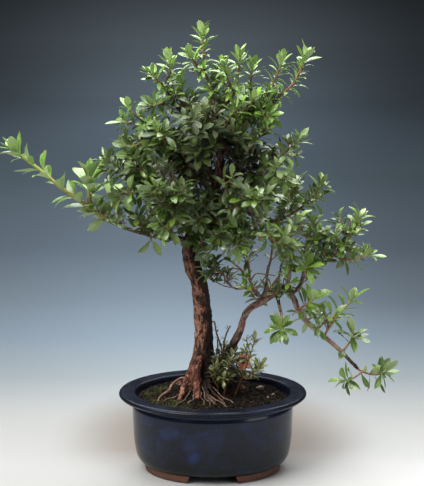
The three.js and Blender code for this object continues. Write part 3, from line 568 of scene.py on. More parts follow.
class Finish(Paint):
    """A material with one Principled shader."""

    def __init__(self, name, **plain):
        self.made = bpy.data.materials.new(name)
        self.made.use_nodes = True
        super().__init__(self.made.node_tree)
        self.wear(**plain)

    def wear(self, **what):
        """Feeds values or sockets to the shader and gives the material."""
        shader = self.tree.nodes["Principled BSDF"]
        for key, value in what.items():
            self.feed(shader.inputs[key.replace("_", " ")], value)
        return self.made


def new_group(name, ins, outs):
    group = bpy.data.node_groups.new(name, "ShaderNodeTree")
    for label, kind, value in ins:
        socket = group.interface.new_socket(label, in_out="INPUT", socket_type="NodeSocket" + kind)
        if value is not None:
            socket.default_value = value
    for label, kind in outs:
        group.interface.new_socket(label, in_out="OUTPUT", socket_type="NodeSocket" + kind)
    start = group.nodes.new("NodeGroupInput").outputs
    end = group.nodes.new("NodeGroupOutput").inputs
    return group, Paint(group), start, end


def mottle_group():
    """Two colours in soft patches, with finer specks inside them."""
    group, paint, start, end = new_group(
        "mottle",
        [("Vector", "Vector", None), ("Scale", "Float", 1.0), ("Dark", "Color", (0, 0, 0, 1)),
         ("Light", "Color", (1, 1, 1, 1)), ("Contrast", "Float", 2.0)],
        [("Color", "Color"), ("Mask", "Float")])
    coarse = paint.noise(start["Vector"], start["Scale"], 4, 0.6)
    fine = paint.noise(start["Vector"], paint.times(start["Scale"], 4.3), 2, 0.5)
    both = paint.plus(paint.times(coarse, 0.7), paint.times(fine, 0.3))
    spread = paint.times(paint.minus(both, 0.5), start["Contrast"])
    mask = paint.plus(spread, 0.5, True)
    paint.feed(end["Color"], paint.blend(mask, start["Dark"], start["Light"]))
    paint.feed(end["Mask"], mask)
    return group


def flake_group():
    """Old bark: plates with raised edges and cracks between them."""
    group, paint, start, end = new_group(
        "bark flakes",
        [("Vector", "Vector", None), ("Scale", "Float", 1.0)],
        [("Height", "Float"), ("Crack", "Float"), ("Plate", "Float")])
    bent = paint.node("TexNoise", {"Vector": start["Vector"], "Scale": 0.35, "Detail": 2.0})
    pushed = paint.scaled(paint.vector("SUBTRACT", bent[1], (0.5, 0.5, 0.5)), 2.6)
    where = paint.vector("ADD", start["Vector"], pushed)
    edge = paint.cells(where, start["Scale"], "DISTANCE_TO_EDGE")
    shade = paint.node("SeparateColor", {0: paint.cells(where, start["Scale"], "F1", "Color")})[0]
    crack = paint.fit(edge, 0.0, 0.16, 1.0, 0.0, "SMOOTHSTEP")
    grain = paint.noise(where, paint.times(start["Scale"], 3.1), 4, 0.65)
    height = paint.plus(paint.times(shade, 0.45), paint.times(grain, 0.5))
    paint.feed(end["Height"], paint.minus(height, paint.times(crack, 0.6)))
    paint.feed(end["Crack"], crack)
    paint.feed(end["Plate"], shade)
    return group


MOTTLE = mottle_group()
FLAKES = flake_group()


def spot_mask(paint, middle, size, soft=0.5):
    """1 near a point of the plant or pot, fading to 0 at size (mm) from it, with an uneven edge."""
    where = paint.place()
    centre = tuple(m + s / MM for m, s in zip(middle, POT_MIDDLE))
    gap = paint.vector("SUBTRACT", where, centre)
    far = paint.length(paint.vector("DIVIDE", gap, size))
    ragged = paint.times(paint.minus(paint.noise(where, 0.09, 4, 0.6), 0.5), 1.6)
    return paint.fit(paint.plus(far, ragged), 1 - soft, 1.0, 1.0, 0.0, "SMOOTHSTEP")


# ---------------------------------------------------------------- materials

# Places on the bark, in mm. First the dark side of the base, partly damp bark and partly painted shade: from
# left to right over it,
SHADE_DAMP_ACROSS = (-2, 3)
SHADE_DAMP_UP = (152, 134)                # downwards,
SHADE_DAMP_FOOT = (83, 88)                # and not on the lowest roots.
BULGE = ((-20, -2, 104), (9, 14, 17))           # smooth red wood: middle and half sizes
KNOTS = (((86, -2, 203), (9, 16, 9)), ((20, 14, 128), (10, 20, 16)), ((71, -3, 189), (6, 12, 9)),
         ((-15, 8, 130), (16, 16, 6)), ((74, -1, 203), (9, 12, 7)))     # dark knots, the same
CASCADE_BARK = ((120, -17, 153), (46, 34, 46))  # where the falling branch is pale
LIT_FROM = (112, 134)               # over these heights the trunk gets a painted light side and a painted shade side, it darkens over these with painted shade from the crown, and so do the limbs inside the crown
BARK_SHADE = (150, 236)             # it darkens over these,
CROWN_SHADE = (224, 262)            # and so do the limbs inside the crown
PLATE_SQUEEZE = 0.42                # the bark's plates are this much longer along a limb than across it

# Colours of the bark.
OLD_DARK, OLD_LIGHT = (0.036, 0.016, 0.011), (0.620, 0.275, 0.190)
PALE_SCALE, BARK_CRACK, RED_WOOD = (0.78, 0.51, 0.41), (0.022, 0.011, 0.008), (0.33, 0.125, 0.090)
SHADE_DAMP_BARK, LIT_BARK, SHADE_SIDE_BARK = (0.013, 0.009, 0.007), (0.62, 0.33, 0.21), (0.018, 0.013, 0.009)
UPPER_SHADE_BARK = (0.034, 0.020, 0.013)
TENDER_DARK, TENDER_LIGHT = (0.050, 0.034, 0.026), (0.600, 0.480, 0.400)
TENDER_DAMP_SHADE, TENDER_SHADE, CASCADE_PALE = (0.020, 0.013, 0.010), (0.045, 0.026, 0.018), (0.47, 0.32, 0.24)


def bark_material():
    paint = Finish("bark", Roughness=0.86, Specular_IOR_Level=0.25)
    grain = paint.attribute("grain", "Vector")      # where a point lies on its limb if that were straight
    squeezed = paint.node("Mapping", {0: grain, 3: (1, 1, PLATE_SQUEEZE)})[0]
    flakes = paint.group(FLAKES, Vector=squeezed, Scale=0.42)
    broad = paint.mottle(0.07, (0.46, 0.36, 0.33), (1.15, 1.04, 1.0), 4.2)
    fine = paint.mottle(0.30, OLD_DARK, OLD_LIGHT, 7.5, squeezed)
    colour = paint.blend(1.0, broad["Color"], fine["Color"], "MULTIPLY")
    # small pale scales, and black gaps between the plates
    scales = paint.fit(paint.noise(squeezed, 0.62, 3, 0.6), 0.55, 0.64, 0.0, 0.8)
    colour = paint.blend(paint.times(scales, fine["Mask"]), colour, PALE_SCALE)
    colour = paint.blend(paint.times(flakes["Crack"], 0.7), colour, BARK_CRACK)
    # the side of the base away from the light is dark, partly damp bark and partly painted shade, and so are
    # the knots
    across, _, up = paint.split(paint.place())
    shade_and_damp = paint.times(paint.fit(across, *SHADE_DAMP_ACROSS), paint.fit(up, *SHADE_DAMP_UP))
    shade_and_damp = paint.times(shade_and_damp, paint.fit(up, *SHADE_DAMP_FOOT))
    for middle, size in KNOTS:
        shade_and_damp = paint.most(shade_and_damp, spot_mask(paint, middle, size, 0.8))
    colour = paint.blend(paint.times(spot_mask(paint, *BULGE, 0.9), 0.5), colour, RED_WOOD)
    ragged = paint.times(broad["Mask"], 0.16)
    colour = paint.blend(paint.minus(shade_and_damp, ragged, True), colour, SHADE_DAMP_BARK)
    # the trunk is tan on the side turned to the light and dark on the other, above the roots
    over = paint.plus(paint.split(grain)[1], paint.times(paint.minus(1.0, fine["Mask"]), 4.0))
    young = paint.attribute("young")
    old = paint.times(paint.fit(young, 0.05, 0.12, 1.0, 0.0), paint.fit(up, *LIT_FROM))
    lit = paint.times(paint.fit(over, 2.0, -3.0, 0.0, 0.7), old)
    colour = paint.blend(paint.times(lit, fine["Mask"]), colour, LIT_BARK)
    shade_side = paint.times(paint.fit(over, 0.5, 5.0, 0.0, 0.88), old)
    colour = paint.blend(shade_side, colour, SHADE_SIDE_BARK)
    # painted shade of the crown darkens the upper trunk
    colour = paint.blend(paint.fit(up, *BARK_SHADE, 0.0, 0.6), colour, UPPER_SHADE_BARK)
    # younger wood is smoother, greyer and greener
    tender = paint.mottle(0.26, TENDER_DARK, TENDER_LIGHT, 6.5, squeezed)["Color"]
    # young wood on the base's dark side takes the same damp and painted shade
    tender = paint.blend(paint.times(shade_and_damp, 0.8), tender, TENDER_DAMP_SHADE)
    tender = paint.blend(paint.fit(up, *CROWN_SHADE, 0.0, 0.75), tender, TENDER_SHADE)
    tender = paint.blend(spot_mask(paint, *CASCADE_BARK, 0.6), tender, CASCADE_PALE)
    colour = paint.blend(young, colour, tender)
    relief = paint.times(paint.plus(flakes["Height"], fine["Mask"]), paint.fit(young, 0, 1, 1.0, 0.4))
    return paint.wear(Base_Color=colour, Normal=paint.bump(relief, 1.0, 0.0014))


def twig_material():
    """Shoots of this year and last: brown at the base, green at the tip."""
    paint = Finish("shoot bark", Roughness=0.62, Specular_IOR_Level=0.35)
    _, tip, _, light = paint.growth()
    rough = paint.mottle(0.5, (0.095, 0.040, 0.022), (0.300, 0.150, 0.080), 3.0)
    fresh = paint.mottle(0.4, (0.165, 0.190, 0.038), (0.370, 0.390, 0.090), 2.0)
    colour = paint.blend(paint.fit(tip, 0.35, 0.95), rough["Color"], fresh["Color"])
    # the colour is scaled by the painted light or shade stored with each shoot
    return paint.wear(Base_Color=paint.scaled(colour, light), Normal=paint.bump(rough["Mask"], 0.5, 0.0004))


# Colours of the leaves: deepest, middle, freshest and underside.
LEAF_COLOURS = {
    "mature leaf": ((0.016, 0.038, 0.007), (0.064, 0.134, 0.016), (0.158, 0.270, 0.032), (0.20, 0.26, 0.11)),
    "young leaf": ((0.036, 0.115, 0.010), (0.088, 0.232, 0.018), (0.215, 0.390, 0.042), (0.32, 0.42, 0.18)),
    "shaded leaf": ((0.012, 0.017, 0.004), (0.062, 0.082, 0.014), (0.190, 0.225, 0.038), (0.16, 0.15, 0.07)),
}
RIB, VEIN = (0.30, 0.36, 0.10), (0.22, 0.28, 0.09)
BURNT_TIP, DEEP_SHADE_LEAF = (0.16, 0.075, 0.03), (0.016, 0.012, 0.005)


def leaf_material(name):
    """A glossy leathery blade: tone and age differ leaf by leaf, with a pale midrib and fine side veins."""
    deep, middle, fresh, under = LEAF_COLOURS[name]
    paint = Finish(name, Sheen_Weight=0.05, Specular_IOR_Level=0.8)
    tone, age, below, light = paint.growth()
    along, over, _ = paint.split(paint.blade())
    off = paint.math("ABSOLUTE", paint.minus(over, 0.5))
    base = paint.blend(tone, deep, middle)
    base = paint.blend(paint.math("POWER", age, 1.3), base, fresh)
    patch = paint.mottle(0.16, (0.62, 0.68, 0.60), (1.15, 1.10, 1.05), 2.2)
    base = paint.blend(1.0, base, patch["Color"], "MULTIPLY")
    # the blade is greener by its midrib and yellower at its rim
    base = paint.blend(paint.times(paint.fit(off, 0.28, 0.5), 0.35), base, fresh)
    rib = paint.fit(off, 0.015, 0.05, 1.0, 0.0, "SMOOTHSTEP")
    rib = paint.times(rib, paint.fit(along, 0.0, 0.95, 0.75, 0.15))
    base = paint.blend(rib, base, RIB)
    # side veins leave the midrib forwards
    slant = paint.minus(paint.times(along, 7.0), paint.times(off, 5.5))
    wave = paint.math("ABSOLUTE", paint.minus(paint.math("FRACT", slant), 0.5))
    vein = paint.fit(wave, 0.0, 0.13, 1.0, 0.0, "SMOOTHSTEP")
    base = paint.blend(paint.times(vein, 0.22), base, VEIN)
    # a few browned tips
    burnt = paint.times(paint.fit(along, 0.86, 1.0), paint.fit(tone, 0.03, 0.10, 1.0, 0.0))
    base = paint.blend(burnt, base, BURNT_TIP)
    base = paint.blend(paint.times(below, 0.72), base, under)
    # leaves deep in the crown get painted shade: darker, browner and duller
    base = paint.blend(paint.fit(light, 0.45, 0.85, 0.4, 0.0), paint.scaled(base, light), DEEP_SHADE_LEAF)
    spots = paint.noise(paint.place(), 0.7, 2, 0.5)
    rough = paint.plus(paint.fit(spots, 0.3, 0.7, 0.16, 0.38), paint.times(below, 0.3))
    rough = paint.plus(rough, paint.fit(light, 0.4, 0.9, 0.25, 0.0))
    rough = paint.plus(rough, paint.fit(tone, 0.0, 1.0, 0.10, -0.04))
    height = paint.minus(paint.minus(paint.times(spots, 0.5), paint.times(vein, 0.35)), rib)
    return paint.wear(Base_Color=base, Specular_IOR_Level=paint.fit(light, 0.48, 0.98, 0.15, 0.95),
                      Roughness=rough, Normal=paint.bump(height, 0.5, 0.00035))


def mottled_material(name, scale, dark, light, contrast, relief=None, **plain):
    """A plain finish in two colours, with low relief of a strength and depth where there is any."""
    paint = Finish(name, **plain)
    body = paint.mottle(scale, dark, light, contrast)
    if relief:
        paint.wear(Normal=paint.bump(body["Mask"], *relief))
    return paint.wear(Base_Color=body["Color"])


def root_material():
    return mottled_material("thin root", 0.35, (0.060, 0.037, 0.024), (0.290, 0.205, 0.140), 5.0,
                            (0.6, 0.0004), Roughness=0.85, Specular_IOR_Level=0.2)


def bud_material():
    return mottled_material("bud", 0.8, (0.15, 0.085, 0.025), (0.42, 0.34, 0.09), 2.4, Roughness=0.5)


def pebble_material():
    return mottled_material("pebble", 0.3, (0.055, 0.031, 0.023), (0.130, 0.072, 0.054), 2.6,
                            (0.5, 0.0005), Roughness=0.6)


# Colours of the glaze where it is thin, deep blue, milky and in drops.
THIN_GLAZE, COBALT = (0.0062, 0.0078, 0.0058), (0.012, 0.024, 0.080)
MILKY, PALE_DROP = (0.08, 0.11, 0.20), (0.11, 0.12, 0.13)
# Clouds of cobalt on the body: middle, half sizes (mm) and strength.
COBALT_SPOTS = (
    ((-46, -62, 58), (22, 34, 13), 0.85), ((-22, -64, 46), (14, 34, 20), 0.55),
    ((-20, -64, 34), (9, 30, 11), 1.0), ((34, -62, 66), (13, 30, 7), 0.7),
    ((-70, -42, 66), (16, 26, 10), 0.55), ((72, -40, 50), (16, 24, 13), 0.4),
    ((10, 65, 50), (26, 28, 16), 0.8), ((-80, 25, 45), (22, 20, 13), 0.8),
)


def glaze_material():
    """Thick dark glaze: almost black, breaking to cobalt in clouds and brown where it thins."""
    paint = Finish("cobalt glaze", Specular_IOR_Level=0.25)
    where = paint.place()
    height = paint.split(where)[2]
    colour = paint.mottle(0.035, (0.0030, 0.0036, 0.0055), (0.0085, 0.0115, 0.024), 2.5, where)["Color"]
    colour = paint.blend(paint.times(paint.fit(height, 42, 8), 0.7), colour, THIN_GLAZE)
    cloud = paint.fit(paint.noise(where, 0.026, 5, 0.62, 0.6), 0.50, 0.74, 0.0, 0.55, "SMOOTHSTEP")
    neck = paint.times(paint.fit(height, 58, 76), paint.fit(height, 83, 79))
    cloud = paint.most(cloud, paint.times(neck, 0.32))
    for middle, size, depth in COBALT_SPOTS:
        cloud = paint.most(cloud, paint.times(spot_mask(paint, middle, size, 1.0), depth))
    cloud = paint.times(cloud, paint.fit(height, 81, 85, 1.0, 0.2))
    colour = paint.blend(cloud, colour, COBALT)
    milky = paint.fit(paint.noise(where, 0.055, 4, 0.7), 0.58, 0.78, 0.0, 0.25)
    colour = paint.blend(paint.times(milky, cloud), colour, MILKY)
    drop = paint.fit(paint.cells(where, 0.42), 0.10, 0.02)
    colour = paint.blend(paint.times(drop, 0.25), colour, PALE_DROP)
    film = paint.fit(paint.noise(where, 0.05, 4, 0.6), 0.3, 0.75, 0.14, 0.30)
    rough = paint.plus(film, paint.fit(height, 76, 84, 0.0, 0.05))
    swell = paint.bump(paint.noise(where, 0.045, 2, 0.4), 0.18, 0.0018)
    return paint.wear(Base_Color=colour, Specular_IOR_Level=paint.fit(height, 78, 86, 0.27, 0.11),
                      Roughness=rough, Normal=swell)


def clay_material():
    paint = Finish("bare clay", Roughness=0.86)
    where = paint.place()
    body = paint.mottle(0.12, (0.050, 0.019, 0.012), (0.140, 0.060, 0.038), 2.4, where)
    sand = paint.fit(paint.cells(where, 1.1), 0.22, 0.08, 0.0, 0.5)
    return paint.wear(Base_Color=paint.blend(sand, body["Color"], (0.30, 0.17, 0.11)),
                      Normal=paint.bump(paint.noise(where, 1.4, 4, 0.7), 0.6, 0.0005))


def soil_material():
    paint = Finish("soil", Roughness=0.95, Specular_IOR_Level=0.1)
    where = paint.place()
    body = paint.mottle(0.22, (0.006, 0.0045, 0.0035), (0.030, 0.022, 0.015), 3.0, where)
    return paint.wear(Base_Color=body["Color"],
                      Normal=paint.bump(paint.noise(where, 0.9, 5, 0.7), 1.0, 0.0012))


def crumb_material():
    """Soil grains: dark peat, some brown baked clay and some with moss; each grain has a tone."""
    paint = Finish("soil grains", Roughness=0.9, Specular_IOR_Level=0.12)
    tone, kind, _, _ = paint.growth()
    colour = paint.ramp(tone, (0.0, (0.006, 0.005, 0.004)), (0.6, (0.017, 0.013, 0.009)),
                        (0.88, (0.038, 0.027, 0.018)), (1.0, (0.085, 0.050, 0.033)))
    moss = paint.mottle(0.5, (0.026, 0.034, 0.010), (0.105, 0.110, 0.032), 2.5)
    colour = paint.blend(paint.fit(kind, 0.4, 0.6), colour, moss["Color"])
    fine = paint.mottle(1.4, (0.5, 0.5, 0.5), (1.2, 1.2, 1.2), 3.0)
    return paint.wear(Base_Color=paint.blend(1.0, colour, fine["Color"], "MULTIPLY"),
                      Normal=paint.bump(fine["Mask"], 0.8, 0.0005))


def petal_material():
    paint = Finish("petal", Roughness=0.55, Sheen_Weight=0.15)
    blade = paint.blade()
    along = paint.split(blade)[0]
    fade = paint.noise(paint.place(), 0.35, 3, 0.6)
    colour = paint.blend(along, (0.95, 0.27, 0.15), (1.0, 0.42, 0.26))
    colour = paint.blend(paint.fit(fade, 0.5, 0.75, 0.0, 0.35), colour, (0.75, 0.30, 0.17))
    colour = paint.blend(paint.times(paint.fit(along, 0.8, 1.0), 0.45), colour, (0.42, 0.20, 0.10))
    rays = paint.node("TexWave", {"Vector": blade, "Scale": 5.0, "Distortion": 2.0}, bands_direction="Y")[1]
    return paint.wear(Base_Color=colour, Normal=paint.bump(rays, 0.4, 0.0004))


def screen_material():
    paint = Finish("screen plastic")
    body = paint.mottle(0.3, (0.010, 0.011, 0.011), (0.028, 0.029, 0.030), 2.0)
    return paint.wear(Base_Color=body["Color"], Roughness=paint.fit(body["Mask"], 0, 1, 0.4, 0.65))


# ---------------------------------------------------------------- pot


def rounded(points, radii, segments=4):
    """A profile with its corners rounded."""
    path = [Vector(p) for p in points]
    out = [path[0]]
    for before, corner, after, radius in zip(path, path[1:], path[2:], radii):
        back, on = (before - corner), (after - corner)
        reach = min(radius, 0.48 * back.length, 0.48 * on.length)
        if reach < 0.05:
            out.append(corner)
            continue
        start, end = corner + back.normalized() * reach, corner + on.normalized() * reach
        for i in range(segments + 1):
            t = i / segments
            out.append((1 - t) ** 2 * start + 2 * t * (1 - t) * corner + t * t * end)
    return out + [path[-1]]


def pot_wall_profile():
    """Half width and height round the wall, with the radius of each corner."""
    rim, belly, foot = RIM_HALF[0], BELLY_HALF[0], FOOT_HALF[0]
    top, under = POT_HEIGHT, UNDER_LIP
    corners = [
        (foot - 1, FOOT_HEIGHT, 1.2), (foot + 4.5, FOOT_HEIGHT + 3, 5), (belly - 3.2, FOOT_HEIGHT + 10, 7),
        (belly - 0.6, FOOT_HEIGHT + 26, 14), (belly + 0.8, under - 9, 2.5), (belly - 0.8, under - 6, 1.2),
        (belly - 0.4, under - 1, 0.8), (rim - 4, under - 0.5, 2.5), (rim, under + 3.4, 1.8),
        (rim - 1, top - 0.9, 1.0), (rim - 3.2, top, 1.6), (rim - LIP_WIDTH + 1.5, top - 0.4, 1.2),
        (rim - LIP_WIDTH, top - 2, 1.5), (rim - LIP_WIDTH - 1.6, top - 9, 6), (belly - 9.5, FLOOR_TOP + 8, 5),
        (belly - 15, FLOOR_TOP, 4),
    ]
    points = [(4, FOOT_HEIGHT)] + [(x, z) for x, z, _ in corners] + [(4, FLOOR_TOP)]
    return rounded([(x, 0, z) for x, z in points], [r for _, _, r in corners])


def pot_body():
    bm = bmesh.new()
    profile = [bm.verts.new(p) for p in pot_wall_profile()]
    edges = [bm.edges.new(pair) for pair in zip(profile, profile[1:])]
    bmesh.ops.spin(bm, geom=profile + edges, cent=(0, 0, 0), axis=(0, 0, 1), angle=2 * math.pi,
                   steps=POT_TURNS, use_merge=True)
    bmesh.ops.remove_doubles(bm, verts=bm.verts, dist=0.001)
    rims = [e for e in bm.edges if e.is_boundary]
    bmesh.ops.holes_fill(bm, edges=rims, sides=0)
    for vert in bm.verts:
        radius = math.hypot(vert.co.x, vert.co.y)
        flat = LIP_FLAT if vert.co.z > UNDER_LIP - 0.7 and radius > 80 else WALL_FLAT
        vert.co.y *= (radius - flat * min(1, radius / MIDDLE_ROUND)) / radius
    bmesh.ops.recalc_face_normals(bm, faces=bm.faces)
    smooth(bm)
    drills = bmesh.new()
    for x in (-DRAIN_X, DRAIN_X):
        bmesh.ops.create_cone(drills, cap_ends=True, segments=40, radius1=DRAIN_RADIUS, radius2=DRAIN_RADIUS,
                              depth=3 * FLOOR_TOP, matrix=Matrix.Translation((x, 0, FLOOR_TOP)))
    drill = placed("drill", mesh_of(drills, "drill"))
    bm = applied(bm, ("BOOLEAN", {"object": drill, "operation": "DIFFERENCE", "solver": "EXACT"}))
    bpy.data.objects.remove(drill)
    for face in bm.faces:
        face.smooth = abs(face.normal.z) > 0.5 or math.hypot(*face.calc_center_median().xy) > 40
    return bm


def foot_segment(bm, quarter):
    """One foot: the foot ring's section, spun from notch to notch."""
    wide, deep = FOOT_HALF
    top = FOOT_HEIGHT + 1.5
    section = rounded([(-FOOT_WIDTH, 0, 0), (-1.2, 0, 0), (0, 0, 1.2), (1.0, 0, top), (-FOOT_WIDTH, 0, top),
                       (-FOOT_WIDTH, 0, 0)], [0.7, 0.9, 0.3, 0.3, 0.7], 3)[:-1]
    ring = [bm.verts.new(p) for p in section]
    face = bm.faces.new(ring)
    before = set(bm.verts) - set(ring)
    # it is spun on a wide circle first, and each point is then moved to its place under the wall
    far, angle = 200, 0.5
    bmesh.ops.spin(bm, geom=[face], cent=(-far, 0, 0), axis=(0, 0, 1), angle=angle, steps=22)
    sign_x, sign_y = quarter
    for vert in set(bm.verts) - before:
        arm = vert.co - Vector((-far, 0, 0))
        share = math.atan2(arm.y, arm.x) / angle
        offset = math.hypot(arm.x, arm.y) - far
        half_w, half_d, z = wide + offset, deep + offset, vert.co.z
        open_ = FOOT_FLARE * (1 - z / FOOT_HEIGHT)
        first = math.asin((FOOT_NOTCH[1] + open_) / half_d)
        last = math.acos((FOOT_NOTCH[0] + open_) / half_w)
        turn = lerp(first, last, share)
        vert.co = Vector((sign_x * half_w * math.cos(turn), sign_y * half_d * math.sin(turn), z))


def pot_feet():
    bm = bmesh.new()
    for quarter in ((1, 1), (1, -1), (-1, 1), (-1, -1)):
        foot_segment(bm, quarter)
    bmesh.ops.recalc_face_normals(bm, faces=bm.faces)
    sharp = [e for e in bm.edges if e.is_manifold and e.calc_face_angle() > math.radians(50)]
    bmesh.ops.bevel(bm, geom=sharp, offset=0.5, segments=2, profile=0.5, affect="EDGES", material=-1)
    smooth(bm)
    return bm


# ---------------------------------------------------------------- soil


def soil_height(x, y):
    dx, dy = (x - SOIL_CENTRE[0]) / 55, (y - SOIL_CENTRE[1]) / 42
    ripple = 0.7 * math.sin(x * 0.19 + 1) * math.cos(y * 0.23) + 0.5 * math.sin(x * 0.09 - y * 0.13)
    return SOIL_EDGE + SOIL_MOUND * math.exp(-(dx * dx + dy * dy)) + ripple


def soil_body():
    """The soil's bulk: a ball whose upper rows make the bed and lower rows fill the pot."""
    bm = bmesh.new()
    rows, bed = 56, 44
    bmesh.ops.create_uvsphere(bm, u_segments=96, v_segments=rows, radius=1)
    wide, deep = SOIL_HALF
    sides = [(1.0, SOIL_EDGE - 5), (0.975, 60), (0.965, 40), (0.955, 24), (0.93, 18), (0.88, 15.2),
             (0.7, SOIL_FOOT)]
    for vert in bm.verts:
        row = round(math.acos(max(-1.0, min(1.0, vert.co.z))) / math.pi * rows)
        turn = math.atan2(vert.co.y, vert.co.x)
        if row <= bed:
            share = row / bed
            x, y = wide * share * math.cos(turn), deep * share * math.sin(turn)
            lumps = noise.fractal(Vector((x, y, 0)) * 0.22, 0.6, 2.0, 4) * 0.9
            vert.co = Vector((x, y, soil_height(x, y) - 0.9 + lumps * min(1, 6 * (1 - share))))
        else:
            share = (row - bed - 1) / (rows - bed - 1)
            grip, height = sides[min(int(share * 6.99), 6)]
            if row == rows:
                vert.co = Vector((0, 0, SOIL_FOOT))
            else:
                vert.co = Vector((wide * grip * math.cos(turn), deep * grip * math.sin(turn), height))
    bmesh.ops.recalc_face_normals(bm, faces=bm.faces)
    smooth(bm)
    return bm


def ball_mesh(name, subdivisions=1, rough=0.25, seed=1):
    """A rough stone of a few faces, about 1 across its half."""
    bm = bmesh.new()
    bmesh.ops.create_icosphere(bm, subdivisions=subdivisions, radius=1)
    for vert in bm.verts:
        vert.co *= 1 + rough * noise.noise(vert.co * 1.7 + Vector((seed * 7.3, 0, 0)))
    return mesh_of(bm, name)


def add_copy(bm, mesh, matrix):
    """Adds a mesh to a bmesh at a place and gives its new vertices and faces."""
    verts, faces = len(bm.verts), len(bm.faces)
    bm.from_mesh(mesh)
    bm.verts.ensure_lookup_table()
    bm.faces.ensure_lookup_table()
    new = bm.verts[verts:]
    for vert in new:
        vert.co = matrix @ vert.co
    return new, bm.faces[faces:]


def packed(bm):
    """The same bmesh without the gaps that merged points leave, so that what is added comes last."""
    mesh = mesh_of(bm, "packed")
    made = bmesh.new()
    made.from_mesh(mesh)
    bpy.data.meshes.remove(mesh)
    return made


def turned(roll):
    """A chance rotation."""
    axis = Vector((roll() - 0.5, roll() - 0.5, roll() - 0.5))
    return Matrix.Rotation(roll() * 2 * math.pi, 4, axis)


GRAINS = 4200
# Where moss has taken: middle, reach (mm).
MOSS_AT = [(-62, -16, 18), (-48, -34, 16), (-66, 10, 14), (-28, -46, 14), (-40, -20, 12), (4, -50, 12),
           (-54, 24, 12), (34, -46, 9), (-8, -46, 10)]


def mossy(x, y):
    """How mossy the soil is at a point."""
    return max(1 - math.hypot(x - mx, y - my) / size for mx, my, size in MOSS_AT)


def soil_grains():
    roll = random.Random(11).random
    stones = [ball_mesh(f"grain{i}", 1, 0.45, i) for i in range(4)]
    bm = bmesh.new()
    paint = bm.loops.layers.float_color.new("growth")
    for i in range(GRAINS):
        turn, share = roll() * 2 * math.pi, math.sqrt(roll()) * 0.985
        x, y = SOIL_HALF[0] * share * math.cos(turn), SOIL_HALF[1] * share * math.sin(turn)
        size = lerp(0.55, 1.5, roll() ** 2.2)
        moss = mossy(x, y) + 1.2 * (roll() - 0.5) > 0.62
        tone = roll() ** 1.6
        flat = Matrix.Diagonal((size, size * lerp(0.75, 1.2, roll()), size * lerp(0.55, 0.9, roll()), 1))
        place = Matrix.Translation((x, y, soil_height(x, y) - 0.35 + 0.3 * size * roll()))
        _, faces = add_copy(bm, stones[i % 4], place @ turned(roll) @ flat)
        for face in faces:
            face.smooth = moss
        dye(faces, paint, (tone, 1.0 if moss else 0.0, 0, 1))
    return bm


def moss_tufts():
    """Short moss: little pointed stems in cushions."""
    roll = random.Random(29).random
    bm = bmesh.new()
    paint = bm.loops.layers.float_color.new("growth")
    blade = bmesh.new()
    bmesh.ops.create_cone(blade, cap_ends=True, segments=4, radius1=0.45, radius2=0.05, depth=2.2,
                          matrix=Matrix.Translation((0, 0, 1.0)))
    blade = mesh_of(blade, "moss stem")
    for mx, my, size in MOSS_AT:
        for _ in range(int(size * 7)):
            turn, share = roll() * 2 * math.pi, math.sqrt(roll())
            x, y = mx + size * 0.8 * share * math.cos(turn), my + size * 0.7 * share * math.sin(turn)
            if (x / SOIL_HALF[0]) ** 2 + (y / SOIL_HALF[1]) ** 2 > 0.93:
                continue
            tall = lerp(0.25, 0.7, roll())
            lean = Matrix.Rotation(0.9 * roll(), 4, Vector((roll() - 0.5, roll() - 0.5, 0.01)))
            place = Matrix.Translation((x, y, soil_height(x, y) - 0.4))
            _, faces = add_copy(bm, blade, place @ lean @ Matrix.Diagonal((tall, tall, tall, 1)))
            for face in faces:
                for loop in face.loops:
                    loop[paint] = (roll(), 1, 0, 1)
    return bm


def pebbles():
    """The rosy pebble by the right edge and the brown crumbs beside it."""
    bm = bmesh.new()
    stone = ball_mesh("pebble form", 3, 0.16, 3)
    for (x, y), size, turn in (((52, 19), (5.4, 3.6, 2.7), 0.5), ((66, 1), (3.2, 2.2, 1.6), 1.2),
                               ((60, -8), (2.2, 1.8, 1.3), 2.0), ((-36, 30), (2.6, 2.0, 1.5), 0.2)):
        place = Matrix.Translation((x, y, soil_height(x, y) + size[2] * 0.45))
        add_copy(bm, stone, place @ Matrix.Rotation(turn, 4, "Z") @ Matrix.Diagonal((*size, 1)))
    smooth(bm)
    return bm


# ---------------------------------------------------------------- trunk, limbs and roots

VOXEL = 0.95


def wood_samples():
    """Points along every limb: place, radius, run, frame and how young the limb is."""
    rows = []
    for number, (name, (way, radii, _, _)) in enumerate([*LIMBS.items(), *ROOTS.items()]):
        line = Line(way)
        steps = max(4, round(line.length / 2.5))
        young = 0.5 if name == "second" else 0.0 if name in OLD_WOOD or name in ROOTS else 0.55
        for i, (point, _, side, up) in enumerate(frames_along(line, steps)):
            run = line.length * i / steps + number * 57.0
            rows.append((*point, between(radii, i / steps), run, *side, *up, young))
    return np.array(rows)


def grain_of(places):
    """For each surface point: where it lies on its limb if that were straight, and how young the wood is."""
    samples = wood_samples()
    grain, young = np.zeros_like(places), np.zeros(len(places))
    for start in range(0, len(places), 3000):
        block = places[start:start + 3000]
        gap = np.linalg.norm(block[:, None] - samples[None, :, :3], axis=2) - samples[None, :, 3]
        pick = samples[gap.argmin(axis=1)]
        away = block - pick[:, :3]
        grain[start:start + 3000, 0] = (away * pick[:, 5:8]).sum(axis=1)
        grain[start:start + 3000, 1] = (away * pick[:, 8:11]).sum(axis=1)
        along = np.cross(pick[:, 5:8], pick[:, 8:11])
        grain[start:start + 3000, 2] = pick[:, 4] + (away * along).sum(axis=1)
        young[start:start + 3000] = pick[:, 11] + np.clip((3.2 - pick[:, 3]) / 6, -0.1, 0.35)
    return grain, np.clip(young, 0, 1)


